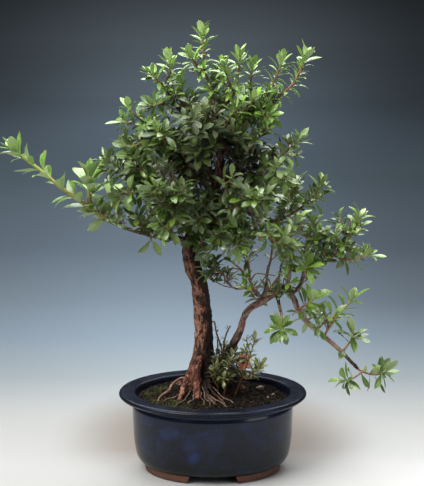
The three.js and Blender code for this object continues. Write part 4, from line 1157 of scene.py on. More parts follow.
def wood_body():
    """All the wood as one grown body with rough plated bark."""
    bm = bmesh.new()
    for way, radii, sides, rings in [*LIMBS.values(), *ROOTS.values()]:
        add_rod(bm, Line(way), radii, 3 * sides, 3 * rings)
    bmesh.ops.recalc_face_normals(bm, faces=bm.faces)
    bm = applied(bm, ("REMESH", {"mode": "VOXEL", "voxel_size": VOXEL}))
    for _ in range(2):
        bmesh.ops.smooth_vert(bm, verts=bm.verts, factor=0.5,
                              use_axis_x=True, use_axis_y=True, use_axis_z=True)
    bm.normal_update()
    bm.verts.ensure_lookup_table()
    places = np.array([v.co for v in bm.verts])
    grain, young = grain_of(places)
    for i, vert in enumerate(bm.verts):
        old = 1 - young[i]
        where = Vector(grain[i])
        where.z *= PLATE_SQUEEZE
        plates, _ = noise.voronoi(where * 0.36)
        ridge = min(plates[1] - plates[0], 0.55) - 0.3
        lumps = noise.fractal(where * 0.12, 0.7, 2.0, 3)
        fine = noise.fractal(where * 0.55, 0.8, 2.0, 2)
        vert.co += vert.normal * ((0.15 + 0.85 * old) * (1.3 * ridge + 0.7 * lumps + 0.6 * fine) + 0.12)
    smooth(bm)
    return bm, grain, young


# Thin roots that run over the soil: points across it with the height over it, and the radius at the foot.
FINE_ROOTS = [
    ([(-10, 3, 10), (-6, -7, 4.5), (0, -16, 1.2), (7, -23, 0.6), (12, -31, 0.5), (17, -37, -1.5)], 0.9),
    ([(-12, 0, 9), (-9, -10, 4), (-8, -19, 1.2), (-3, -27, 0.5), (-3, -36, -1.5)], 0.8),
    ([(-17, -2, 7), (-21, -11, 2.5), (-21, -20, 0.8), (-26, -27, 0.4), (-27, -34, -1.5)], 0.7),
    ([(-3, 3, 10), (5, -5, 3.5), (10, -12, 1.2), (15, -17, 0.6), (19, -19, 0.4), (23, -23, -1.5)], 0.8),
    ([(-17, 0, 8), (-12, -8, 3.5), (-13, -16, 1), (-9, -24, 0.6), (-11, -32, -1.5)], 0.6),
    ([(-28, 0, 6), (-36, -3, 1.5), (-42, -11, 0.8), (-50, -15, 0.4), (-56, -24, -1.5)], 0.7),
    ([(-8, 2, 8), (-3, -12, 2.6), (3, -20, 1.0), (2, -28, 0.6), (8, -36, -1.5)], 0.6),
    ([(-23, -2, 6), (-29, -12, 1.6), (-31, -22, 0.6), (-38, -30, 0.4), (-38, -37, -1.5)], 0.6),
]


WAVER_SEED = 5                      # the vector noise starts from this, or it would start from the clock


def fine_roots():
    bm = bmesh.new()
    noise.seed_set(WAVER_SEED)
    for way, thick in FINE_ROOTS:
        line = Line([(x, y, soil_height(x, y) + up) for x, y, up in way])
        for vert in add_rod(bm, line, [thick * 0.85, thick * 0.75, thick * 0.5], 7, 16):
            vert.co += noise.noise_vector(vert.co * 0.35) * 0.5
    bmesh.ops.recalc_face_normals(bm, faces=bm.faces)
    smooth(bm)
    return bm


def give_values(thing, **values):
    """Stores point values on a finished piece."""
    for name, data in values.items():
        kind = "FLOAT_VECTOR" if data.ndim == 2 else "FLOAT"
        layer = thing.data.attributes.new(name, kind, "POINT")
        layer.data.foreach_set("vector" if data.ndim == 2 else "value", data.astype(np.float32).ravel())


# ---------------------------------------------------------------- leaves

LEAF_ARCH = 0.16
LEAF_KEEL = 0.035
LEAF_ROOT = 0.4
NARROW = (0.012, 0.075, 0.122, 0.146, 0.138, 0.090, 0.006)         # half widths, foot to tip
BROAD = (0.012, 0.070, 0.135, 0.195, 0.225, 0.190, 0.045)
OVAL = (0.012, 0.100, 0.175, 0.205, 0.195, 0.135, 0.015)
BLADE_THICK = 0.022                                              # against its length, at the midrib

# How the shoots' own leaves grow: how far down a shoot they start and how they crowd to its tip, their lean
# at the foot and the tip, how much lean and size vary, how they rise and face, and how often, how far and how
# much smaller a leaf is tried again.
GROWTH = {"reach": 0.72, "crowding": 1.35, "spread": (74, 26), "wobble": 14, "size": (0.86, 1.14),
          "rise": 0.12, "facing": (0.75, 0.6), "tries": 7, "turn": 0.9, "shrink": 0.95}
# Room that is kept round a leaf, a stem and the points of one spray's own leaves.
CLEAR = {"leaf": 1.9, "stem": 1.7, "own": 1.1}
# Points of a blade that need this room: run, and side.
FEELERS = ((0.3, 0), (0.45, 1), (0.45, -1), (0.55, 0), (0.75, 1), (0.75, -1), (0.8, 0), (1, 0))

# Forms that a leaf may take: arch, how far its sides rise, twist, how much its tip curls back, and widths.
LEAF_FORMS = {
    "slim": (1.0, 0.22, 0.0, 0.0, NARROW), "slim folded": (1.25, 0.34, 0.3, 0.05, NARROW),
    "slim bent": (1.5, 0.26, 0.15, 0.12, NARROW), "slim keeled": (1.1, 0.40, -0.3, 0.03, NARROW),
    "slim hooked": (1.9, 0.30, -0.15, 0.2, NARROW),
    "spoon": (0.8, 0.14, -0.2, 0.0, BROAD), "spoon folded": (1.1, 0.28, 0.25, 0.05, BROAD),
    "spoon flat": (0.4, 0.10, 0.3, -0.05, BROAD), "spoon bent": (1.7, 0.18, -0.1, 0.14, BROAD),
    "oval": (0.9, 0.16, 0.2, 0.03, OVAL), "oval cupped": (0.5, 0.30, -0.2, -0.06, OVAL),
}
SLIM = ("slim", "slim folded", "slim bent", "slim keeled", "slim hooked")
WIDE = ("spoon", "spoon folded", "spoon flat", "spoon bent", "oval", "oval cupped")


def arch_at(run):
    return LEAF_ARCH * run * (0.9 - 1.5 * run)


def blade_mesh(name, arch, sides, twist, curl, widths, ruffle=0.0, steps=(5, 4)):
    """A leaf of length 1 along X, upper side to +Z: two grids joined at their rim."""
    bm = bmesh.new()
    uv = bm.loops.layers.uv.new("blade")
    paint = bm.loops.layers.float_color.new("growth")
    halves = []
    for lower in (False, True):
        before = set(bm.faces)
        made = bmesh.ops.create_grid(bm, x_segments=steps[0], y_segments=steps[1], size=0.5)["verts"]
        new = [f for f in bm.faces if f not in before]
        for face in new:
            for loop in face.loops:
                loop[uv].uv = (loop.vert.co.x + 0.5, loop.vert.co.y + 0.5)
                loop[paint] = (0, 0, 1.0 if lower else 0.0, 1)
        for vert in made:
            run, over = vert.co.x + 0.5, vert.co.y * 2
            half = between(widths, run)
            rim = abs(over) > 0.99 or run < 0.01 or run > 0.99
            lift = arch_at(run) * arch + sides * half * abs(over) ** 1.3 - LEAF_KEEL * 0.6
            lift += -curl * max(0, run - 0.6) ** 2 * 4
            lift += twist * half * over * (run - 0.3)
            lift += ruffle * math.sin(9 * run + 2.2 * over) * abs(over)
            if not rim:
                swell = BLADE_THICK * (1 - abs(over)) * math.sin(math.pi * run) ** 0.5
                lift += (-1 if lower else 0.2) * swell
            vert.co = Vector((run, over * half * (1 + 0.10 * ruffle * 10 * math.sin(13 * run)), lift))
        if lower:
            bmesh.ops.reverse_faces(bm, faces=new)
        halves.append(made)
    bmesh.ops.remove_doubles(bm, verts=bm.verts, dist=0.0005)
    for edge in bm.edges:
        sides_of = {face.loops[0][paint][2] > 0.5 for face in edge.link_faces}
        edge.smooth = len(sides_of) < 2
    smooth(bm)
    return mesh_of(bm, name)


def feelers(leaf):
    foot, along, across, normal, length = leaf[:5]
    return [foot + along * (run * length) + across * (over * 0.16 * length) + normal * (arch_at(run) * length)
            for run, over in FEELERS]


class Taken:
    """Room that is taken, as points with a radius and an owner."""

    def __init__(self):
        self.rows = []

    def claim(self, way, radii, name):
        line = Line(way)
        steps = math.ceil(line.length / 3)
        for i in range(steps + 1):
            self.rows.append((*line.place(i / steps), between(radii, i / steps), name))

    def others(self, name):
        kept = np.array([row[:4] for row in self.rows if row[4] != name])
        return kept[:, :3], kept[:, 3]


def leaf_at(point, along, side, up, around, lean, length):
    """A leaf that leaves a stem at an angle, its upper side turned to the stem's tip and the sky."""
    out = spoke(side, up, around)
    heading = spoke(along, out, lean)
    heading.z += GROWTH["rise"]
    heading.normalize()
    face = along * GROWTH["facing"][0] + Vector((0, 0, GROWTH["facing"][1]))
    face = (face - heading * face.dot(heading)).normalized()
    return point + out * LEAF_ROOT, heading, face.cross(heading), face, length


def grow_leaves(name, shoots, seed, taken):
    """The frame's own leaves, by the frame's own rule."""
    roll = dice(seed)
    leaves, own = [], []
    places, rooms = taken.others(name)
    for way, count, size in shoots:
        line = Line(way)
        phase = roll() * math.pi * 2
        for i in range(count):
            back = (count - 1 - i) / count
            t = 1 - GROWTH["reach"] * back ** GROWTH["crowding"]
            point, along, side, up = line.at(min(t, 0.999))
            lean = math.radians(lerp(*GROWTH["spread"], t ** 1.5) + (roll() - 0.5) * GROWTH["wobble"])
            grown = size * lerp(*GROWTH["size"], roll())
            for attempt in range(GROWTH["tries"]):
                around = phase + i * GOLDEN + attempt * GROWTH["turn"]
                leaf = leaf_at(point, along, side, up, around, lean, grown * GROWTH["shrink"] ** attempt)
                points = np.array(feelers(leaf))
                far = np.linalg.norm(places - np.array(leaf[0]), axis=1)
                near = far <= leaf[4] + rooms + 8
                gaps = np.linalg.norm(points[:, None] - places[near][None], axis=2)
                if (gaps < rooms[near] + CLEAR["leaf"]).any():
                    continue
                if own:
                    gaps = np.linalg.norm(points[:, None] - np.array(own)[None], axis=2)
                    if (gaps < 2 * CLEAR["own"]).any():
                        continue
                own.extend(points)
                leaves.append((leaf, t, line))
                break
    taken.rows += [(*point, CLEAR["leaf"], name) for point in own]
    return leaves


class Crowd:
    """Finds quickly whether a point has neighbours."""

    CELL = 3.0

    def __init__(self):
        self.cells = {}

    def key(self, point):
        return tuple(int(math.floor(c / self.CELL)) for c in point)

    def add(self, point):
        self.cells.setdefault(self.key(point), []).append(point)

    def crowded(self, point, room):
        a, b, c = self.key(point)
        for i in (a - 1, a, a + 1):
            for j in (b - 1, b, b + 1):
                for k in (c - 1, c, c + 1):
                    for other in self.cells.get((i, j, k), ()):
                        if (other - point).length_squared < room * room:
                            return True
        return False


# How twigs and leaves are filled in between the shoots: a twig's step, length and leaves, the room round a
# leaf, the sizes of an end whorl's leaves, and how often, how far and how much smaller a leaf is tried again.
FILL = {"twig_step": 6.5, "twig_length": (7, 16), "twig_leaves": (4, 6), "leaf_room": 1.35,
        "small": (0.55, 1.0), "tries": 5, "turn": 0.7, "shrink": 0.94}
# How shoots of each kind look.
HABIT_COLUMNS = (
    "lean", "tip",                  # lean of the leaves from foot to tip of a stem, and in its end whorl
    "small", "whorl", "stretch",    # size and number of the whorl's leaves, and how far down it starts
    "step", "stem", "twigs",        # step between the stem's leaves, its radii, and its share with twigs
    "forms", "ends",                # forms of the leaves on the stem and at its end
    "wide", "green",                # how wide the leaves are, and how green the stem is at foot and tip
)
HABIT_ROWS = {
    "upright": ((98, 52), (74, 12), (0.9, 1.17), 8, 8, 2.4, (1.8, 1.0), 0.3, SLIM,
                ("oval", "oval cupped", "spoon", "slim folded"), (0.98, 1.28), (0.0, 0.45)),
    "long": ((62, 40), (60, 10), (1.02, 1.32), 7, 10, 6.5, (2.7, 1.2), 0.12,
             WIDE, WIDE, (0.98, 1.22), (0.6, 1.0)),
    "open": ((74, 44), (84, 34), (0.75, 1.06), 6, 3, 5.2, (1.5, 0.8), 0.7,
             WIDE, WIDE, (0.82, 1.08), (0.0, 0.6)),
    "dense": ((78, 38), (74, 26), (0.5, 0.96), 6, 3, 4.0, (1.4, 0.7), 0.9, SLIM + WIDE, WIDE, (0.85, 1.15),
              (0.0, 0.6)),
    "star": ((80, 56), (112, 60), (0.72, 1.0), 9, 4, 9.0, (1.3, 0.8), 0.0,
             WIDE, WIDE, (0.8, 1.0), (0.2, 0.6)),
    "clump": ((78, 44), (84, 26), (0.38, 0.62), 9, 7, 2.0, (1.0, 0.7), 0.9,
              WIDE, WIDE, (0.8, 1.0), (0.0, 0.4)),
    "sparse": ((70, 44), (84, 30), (0.6, 0.95), 5, 3, 8.0, (1.4, 0.8), 0.2,
               WIDE, WIDE, (0.78, 1.02), (0.0, 0.6)),
    "low": ((74, 40), (76, 24), (0.75, 1.1), 6, 3, 4.0, (0.9, 0.5), 0.8,
            WIDE, WIDE, (0.78, 1.02), (0.0, 0.25)),
}
HABITS = {kind: dict(zip(HABIT_COLUMNS, row)) for kind, row in HABIT_ROWS.items()}
HABIT_OF = {
    "upright": ("crown_between", "leader", "crown_nw", "crown_n", "crown_e", "crown_far", "crown_back"),
    "long": ("long_left",),
    "open": ("east_a", "upright", "far_e", "right_a", "east_between"),
    "star": ("rosette", "high_b", "cascade_tip"),
    "clump": ("spur_b", "mid_clump"),
    "sparse": ("crown_w", "whorl", "mid_between", "knob_e", "high_a", "high_c", "cascade_back", "thin_a",
               "thin_b", "thin_c", "spur_a", "left_low_a", "mid_up"),
    "low": ("sucker_a", "sucker_b", "undergrowth"),
}
# Places kept free of added leaves, so that the wood behind shows: middle and half sizes.
OPENINGS = (((8, -34, 338), (14, 58, 27)), ((-34, -40, 222), (22, 50, 24)), ((34, -10, 84), (46, 40, 21)),
            ((35, -14, 118), (6, 20, 8)))
BRANCH_LINE = (256, 0.354, -40)     # the long low branch: its height at its start, its slope and its start
CROWN = ((-2, -4, 343), (74, 112, 66))  # middle and half sizes of the shaded inside of the crown
SMALL_LEAVED = {"sucker_b": 0.92}
LONG_LEAVED = {"long_left": (-182, 1.32)}   # inwards of this x the leaves are this much longer
# How light pieces stand that differ from their place, and their stems.
SHADED = {"undergrowth": 0.58, "hanging": 0.85, "sucker_a": 1.3, "front_up_a": 0.66, "front_up_b": 0.66,
          "front_up_c": 0.66}
STEM_SHADE = {"sucker_a": 0.5, "sucker_b": 0.5, "undergrowth": 0.4}
YELLOWED = 0.05                     # share of leaves that have turned yellow


def inside_box(point, slack=1.0):
    place = point * MM + POT_MIDDLE
    return all(CAD_BOX[0][i] - slack * MM <= place[i] <= CAD_BOX[1][i] + slack * MM for i in range(3))


def reach_in(point, middle, half):
    """How far a point lies from the middle of an egg-shaped room, 1 at its wall."""
    return math.sqrt(sum(((point[i] - middle[i]) / half[i]) ** 2 for i in range(3)))


def under_branch(point):
    """Whether a point hangs under the long low branch."""
    height, slope, start = BRANCH_LINE
    line = height + slope * max(0, start - point.x)
    return -118 < point.x < -30 and 190 < point.z < line - 3 - 0.22 * (point.y + 15)


def in_opening(point):
    return under_branch(point) or any(reach_in(point, *room) < 1 for room in OPENINGS)


def light_at(point):
    """How much light reaches a point: least in the middle of the crown, most at the open right side."""
    inner = lerp(0.36, 1.06, clamped((reach_in(point, *CROWN) - 0.4) / 0.55))
    return inner * lerp(1.0, 1.4, clamped((point.x - 25) / 40) * clamped((315 - point.z) / 30))


def leaf_has_room(leaf, crowd):
    foot, along, _, normal, length = leaf
    for run in (0.42, 0.68, 0.95):
        point = foot + along * (run * length) + normal * (arch_at(run) * length)
        if crowd.crowded(point, FILL["leaf_room"]) or not inside_box(point) or in_opening(point):
            return False
    return True


def settle(leaf, crowd):
    foot, along, across, normal, length = leaf
    for run, over in ((0.3, 0), (0.5, 0), (0.7, 0), (0.7, 0.7), (0.7, -0.7), (0.92, 0)):
        crowd.add(foot + along * (run * length) + across * (over * 0.18 * length)
                  + normal * (arch_at(run) * length))


def fitted_leaf(foot, frame, around, lean, length, crowd):
    """A leaf near where it should stand that finds room, or None."""
    for attempt in range(FILL["tries"]):
        turn, size = around + attempt * FILL["turn"], length * FILL["shrink"] ** attempt
        leaf = leaf_at(foot, *frame, turn, lean, size)
        if leaf_has_room(leaf, crowd):
            settle(leaf, crowd)
            return leaf
    return None


def whorl(line, t, count, size, roll, crowd, lean=(78, 34), small=FILL["small"], stretch=2.0):
    """A ring of leaves round a shoot's end, the innermost upright."""
    point, *frame = line.at(t)
    phase, made = roll() * 2 * math.pi, []
    for i in range(count):
        share = i / max(count - 1, 1)
        angle = math.radians(lerp(*lean, share) + 16 * (roll() - 0.5))
        length = size * lerp(small[1], small[0], share ** 1.3) * lerp(0.85, 1.12, roll())
        foot = point - frame[0] * (stretch * (1 - share))
        leaf = fitted_leaf(foot, frame, phase + i * GOLDEN, angle, length, crowd)
        if leaf:
            made.append((leaf, share))
    return made


def stem_leaves(line, size, roll, crowd, step, lean=(78, 38), low=0.12, high=0.93):
    """Leaves up a stem, spread wide low down and closer to it near the end."""
    count, phase, made = round(line.length * (high - low) / step), roll() * 2 * math.pi, []
    for i in range(count):
        t = lerp(low, high, (i + 0.3 * roll()) / max(count, 1))
        point, *frame = line.at(t)
        angle = math.radians(lerp(*lean, t ** 1.8) + 18 * (roll() - 0.5))
        length = size * lerp(0.66, 0.94, math.sin(math.pi * min(1, 0.25 + 0.75 * t)))
        length *= lerp(0.85, 1.15, roll())
        leaf = fitted_leaf(point, frame, phase + i * GOLDEN, angle, length, crowd)
        if leaf:
            made.append((leaf, 0.6 * t))
    return made


def side_twig(line, t, roll, length, radius=0.3):
    """A short side shoot that leaves a stem at t."""
    point, along, side, up = line.at(t)
    out = spoke(side, up, roll() * 2 * math.pi)
    start = point + out * radius
    out = (out + Vector((0, 0, 0.45))).normalized()
    way = (along * 0.6 + out).normalized()
    bend = (way + Vector((0, 0, 0.35))).normalized()
    return Line([start, start + way * length * 0.5, start + way * length * 0.5 + bend * length * 0.5])


def habit_of(name):
    return HABITS[next((kind for kind, names in HABIT_OF.items() if name in names), "dense")]


class Spray:
    """One leafy spray: its stems, leaves and buds, gathered before they are made."""

    def __init__(self, name, youth, seed):
        self.name, self.youth, self.scale, self.sun = name, youth, SMALL_LEAVED.get(name, 1.0), 1.0
        self.habit = habit_of(name)
        self.roll = random.Random(seed).random
        self.stems, self.leaves, self.buds = [], [], []

    def add_leaf(self, leaf, fresh, end=False):
        kinds = self.habit["ends" if end else "forms"]
        form = kinds[int(self.roll() * len(kinds)) % len(kinds)]
        tone = clamped(0.5 + 0.55 * self.roll() * (1 if self.roll() > 0.5 else -1))
        age = clamped(self.sun * self.youth * lerp(0.45, 1.0, fresh) + 0.22 * (self.roll() - 0.5))
        if self.roll() < YELLOWED:
            tone, age = 1.0, max(age, 0.75)
        light = light_at(leaf[0]) * lerp(0.7, 1.0, self.sun) * lerp(0.78, 1.14, self.roll())
        if self.name in LONG_LEAVED and leaf[0].x > LONG_LEAVED[self.name][0]:
            leaf = (*leaf[:4], leaf[4] * LONG_LEAVED[self.name][1])
        self.leaves.append((leaf, form, tone, age, light * SHADED.get(self.name, 1.0)))

    def face_sun(self, line):
        """A young shoot that lies flat has older leaves than one that stands, and painted shade on them."""
        self.sun = min(1, 0.45 + max(0, line.heading(0.9).z)) if self.name in YOUTH else 1.0

    def fill(self, shoots, crowd):
        roll, habit = self.roll, self.habit
        thick, thin = habit["stem"]
        for number, (way, _, size) in enumerate(shoots):
            line = Line(way)
            self.face_sun(line)
            rings = max(4, round(line.length / 5))
            self.stems.append((line, (thick if number == 0 else thick * 0.8, thin), 7, rings, habit["green"]))
            end = whorl(line, 0.985, habit["whorl"], size, roll, crowd, habit["tip"], habit["small"],
                        habit["stretch"])
            for leaf, share in end:
                self.add_leaf(leaf, lerp(0.6, 1.0, share), True)
            for leaf, share in stem_leaves(line, size, roll, crowd, habit["step"], habit["lean"]):
                self.add_leaf(leaf, share)
            self.buds.append((line.place(1.0), line.heading(1.0), lerp(1.0, 1.5, roll())))
            twigs = round(line.length * habit["twigs"] / FILL["twig_step"])
            for i in range(twigs):
                t = lerp(0.08, min(0.9, habit["twigs"]), (i + 0.6 * roll()) / twigs)
                twig = side_twig(line, t, roll, lerp(*FILL["twig_length"], roll()))
                tip = twig.place(1)
                if not inside_box(tip, 0) or in_opening(tip) or crowd.crowded(tip, 1.2):
                    continue
                self.add_twig(twig, size * lerp(0.8, 0.98, roll()), crowd, t)

    def add_twig(self, twig, size, crowd, green):
        roll = self.roll
        count = round(lerp(*FILL["twig_leaves"], roll()))
        got = whorl(twig, 0.97, count, size, roll, crowd)
        got += whorl(twig, 0.55, 3, size * 0.95, roll, crowd, lean=(85, 55))
        if len(got) < 2:
            return
        self.stems.append((twig, (0.72, 0.42), 5, 4, (green, 0.5)))
        for leaf, share in got:
            self.add_leaf(leaf, lerp(0.35, 0.9, share), self.roll() < 0.6)
        self.buds.append((twig.place(1.0), twig.heading(1.0), lerp(0.7, 1.2, roll())))

    def make(self, forms, bud, materials, slot, nodes):
        bm = bmesh.new()
        bm.loops.layers.uv.new("blade")
        paint = bm.loops.layers.float_color.new("growth")
        for line, radii, sides, rings, green in self.stems:
            for vert in add_rod(bm, line, radii, sides, rings):
                light = light_at(vert.co) * STEM_SHADE.get(self.name, SHADED.get(self.name, 1.0))
                for loop in vert.link_loops:
                    share = min(1, (vert.co - line.points[0]).length / line.length)
                    loop[paint] = (0.5, lerp(*green, share), 0, light)
        bmesh.ops.recalc_face_normals(bm, faces=bm.faces)
        for face in bm.faces:
            face.material_index = 1
            face.smooth = True
        bm = packed(bm)
        paint = bm.loops.layers.float_color["growth"]
        for (foot, along, across, normal, length), form, tone, age, light in self.leaves:
            length *= 0.95 * self.scale
            wide = length * lerp(*self.habit["wide"], self.roll())
            turn = Matrix((along, across, normal)).transposed().to_4x4()
            place = Matrix.Translation(foot) @ turn @ Matrix.Diagonal((length, wide, length, 1))
            _, faces = add_copy(bm, forms[form], place)
            for face in faces:
                for loop in face.loops:
                    loop[paint] = (tone, age, loop[paint][2], light)
        for point, along, size in self.buds:
            turn = along.to_track_quat("Z", "Y").to_matrix().to_4x4()
            shape = turn @ Matrix.Diagonal((0.62 * size, 0.62 * size, 1.35 * size, 1))
            _, faces = add_copy(bm, bud, Matrix.Translation(point + along * size * 0.6) @ shape)
            for face in faces:
                face.material_index = 2
                face.smooth = True
        return piece("foliage_" + self.name, bm, materials, slot, *nodes)


# Which limbs each inner piece fills, with the part of the limb, the step and the reach of its spurs.
INNER = {
    "inner_trunk": [("trunk", 0.56, 0.80, 2.0, (14, 34)), ("trunk", 0.80, 1.0, 4.0, (10, 24))],
    "inner_left": [(name, 0.2, 0.98, 3.2, (8, 22)) for name in
                   ("left_low", "left_mid", "left_back", "left_up", "crown_left", "front_left", "back_left",
                    "front_up")],
    "inner_right": [(name, 0.25, 0.98, 4.2, (8, 20)) for name in
                    ("right_mid", "right_low", "right_out", "crown_right", "front_right", "back_right",
                     "back_up")],
    "inner_east": [("upright", 0.3, 0.98, 7.5, (7, 14)), ("mid_up", 0.3, 0.98, 9.0, (7, 14)),
                   ("second", 0.82, 0.98, 12.0, (6, 11))],
}
BARE_TWIGS = {"inner_trunk": 26, "inner_left": 30, "inner_right": 22}   # how many leafless twigs cross inside
# Leafless twigs that cross above the second trunk.
CROSSING = [
    [[41, 2, 210], [46, 4, 217], [57, 6, 216], [68, 4, 215]],
    [[59, 6, 226], [57, 5, 215], [49, 4, 203], [47, 5, 194]],
    [[57, 5, 214], [60, 5, 202], [62, 4, 192]], [[75, 3, 220], [64, 2, 206], [54, 5, 188]],
    [[-3, -2, 213], [6, -1, 208], [13, -2, 205], [26, -4, 203]],
    [[15, -6, 209], [16, -6, 221], [20, -7, 226], [28, -6, 224], [38, -2, 217], [40, 2, 211]],
    [[14, -6, 211], [20, -6, 218], [27, -7, 223]],
]
# Shoots between those of the solids, one piece each: youth, leaf length, seed and ways. First short shoots
# that hang before and beside the trunk under the crown, then shoots between the upright ones over the second
# trunk, bright young ones in the middle, a dense clump beside the trunk, and bright ones in the crown.
BETWEEN = {
    "hanging": (0.2, 18, 77, [
        [[-20, 2, 262], [-16, -14, 262], [-12, -30, 258], [-8, -42, 250]],
        [[-10, 1, 288], [-2, -16, 284], [4, -32, 276], [6, -44, 266]],
        [[0, 0, 308], [-4, -22, 300], [-10, -38, 292], [-14, -52, 284]],
        [[-6, 2, 294], [10, -10, 286], [22, -20, 272], [30, -28, 262]],
        [[-17, 4, 274], [-4, 14, 268], [8, 20, 262], [18, 24, 256]],
        [[20, -18, 276], [12, -34, 270], [4, -46, 262]], [[-38, 22, 304], [-52, 30, 286], [-60, 34, 268]]]),
    "east_between": (0.35, 16, 78, [
        [[103, 4, 248], [110, -3, 256], [116, -6, 266]], [[103, 4, 254], [96, 9, 264], [90, 10, 274]],
        [[116, 5, 229], [120, -3, 240], [122, -6, 254]], [[137, 4, 244], [132, -4, 253], [130, -8, 265]],
        [[147, 0, 258], [141, 8, 267], [135, 12, 278]], [[104, 4, 236], [112, 10, 246], [118, 14, 258]]]),
    "mid_between": (0.95, 15, 79, [
        [[40, 2, 211], [34, -3, 220], [25, -7, 229], [18, -9, 235]],
        [[75, 3, 204], [79, -5, 208], [84, -12, 212]], [[46, 4, 199], [40, -4, 204], [34, -10, 208]]]),
    "mid_clump": (0.6, 13, 80, [
        [[-3, -2, 213], [0, -4, 219], [4, -5, 226]], [[6, -2, 211], [9, -4, 218], [13, -6, 224]],
        [[12, -4, 208], [15, -6, 214], [17, -7, 222]], [[0, -2, 213], [-5, -4, 217], [-9, -6, 222]]]),
    "crown_between": (0.9, 18, 81, [
        [[17, 0, 367], [26, -8, 385], [34, -14, 398], [43, -18, 409]],
        [[8, -3, 360], [13, -14, 378], [19, -22, 391], [26, -26, 401]],
        [[28, 2, 382], [40, -6, 392], [50, -10, 399], [60, -12, 408]]]),
}
# Small dark growth about the second trunk's foot: way and leaf size; and bare thin stems beside the trunk.
LOW_SHOOTS = [
    ([[6, -2, 84], [5, -6, 98], [2, -8, 114]], 9),
    ([[16, 2, 86], [19, 0, 102], [22, -2, 118], [24, -3, 132]], 10),
    ([[10, 6, 92], [12, 4, 110], [12, 2, 126], [13, 0, 138]], 9),
    ([[14, -2, 84], [12, -6, 98], [10, -9, 118]], 9),
    ([[24, 0, 84], [32, -2, 100], [44, -6, 110]], 11), ([[18, 10, 90], [20, 10, 108], [22, 8, 126]], 9),
    ([[26, 8, 88], [30, 8, 104], [27, 6, 120]], 9), ([[8, 12, 96], [4, 8, 112], [4, 4, 128]], 9),
    ([[12, 0, 84], [17, -4, 100], [25, -6, 113]], 9), ([[14, 10, 92], [13, 8, 108], [14, 4, 122]], 9),
]
THIN_STEMS = [
    [[12, 8, 118], [9, 8, 135], [4, 8, 150], [2, 8, 163]],
    [[12, 8, 120], [12, 8, 136], [15, 8, 150], [19, 8, 158]], [[11, 8, 118], [6, 8, 130], [5, 8, 142]],
]


def more_shoots(name, youth, size, seed, ways, crowd):
    """Shoots that fill a part of the plant, as one piece."""
    spray = Spray(name, youth, seed)
    spray.fill([(way, 0, size) for way in ways], crowd)
    return spray


def undergrowth(crowd):
    spray = Spray("undergrowth", 0.08, 611)
    spray.fill([(way, 0, size) for way, size in LOW_SHOOTS], crowd)
    for way in THIN_STEMS:
        line = Line(way)
        spray.stems.append((line, (1.2, 0.8), 5, 8, (0.5, 0.5)))
        for leaf, share in stem_leaves(line, 6, spray.roll, crowd, 3.4, (70, 40), 0.3, 1.0):
            spray.add_leaf(leaf, share)
    return spray


def fill_limbs(name, parts, crowd, seed):
    """Short leafy spurs on the limbs inside the crown."""
    spray = Spray(name, 0.16, seed)
    roll = spray.roll
    for limb, low, high, step, reach in parts:
        way, radii, _, _ = LIMBS[limb]
        line = Line(way)
        count = round(line.length * (high - low) / step)
        for i in range(count):
            t = lerp(low, high, (i + 0.7 * roll()) / count)
            twig = side_twig(line, t, roll, lerp(*reach, roll()), between(radii, t) - 0.4)
            tip = twig.place(1)
            if inside_box(tip, 0) and not in_opening(tip) and not crowd.crowded(tip, 1.2):
                spray.add_twig(twig, lerp(12, 17, roll()), crowd, 0.0)
    for i in range(BARE_TWIGS.get(name, 0)):
        limb, low, high, _, _ = parts[i % len(parts)]
        way, radii, _, _ = LIMBS[limb]
        t = lerp(low, high, roll())
        twig = side_twig(Line(way), t, roll, lerp(16, 38, roll()), between(radii, t) - 0.8)
        if under_branch(twig.place(1)):
            continue
        spray.stems.append((twig, (lerp(0.8, 1.3, roll()), 0.4), 5, 6, (0.0, 0.1)))
    if name == "inner_east":
        spray.stems += [(Line(way), (0.8, 0.5), 5, 10, (0.0, 0.0)) for way in CROSSING]
    return spray


# ---------------------------------------------------------------- bloom

BLOOM = {"stalk": [[30, 15, 79], [31, 14, 91], [32, 12, 104], [33, 8, 117]], "radii": [1.1, 1.3, 2.4],
         "centre": (32.7, 9, 116), "axis": (0.35, -0.75, 0.55), "petals": 5, "length": 11, "flare": 0.55,
         "room": (6, 9), "bud stalk": [[31, 14, 92], [28, 10, 104], [25, 4, 120]],
         "bud": [[25, 4, 119], [24, 2, 123], [23, 0, 126]]}
STALK_TONE = (0.5, 0.45, 0, 0.6)        # tone, how green it is, underside and light
PETAL_WIDTHS = (0.10, 0.20, 0.34, 0.44, 0.46, 0.36, 0.08)


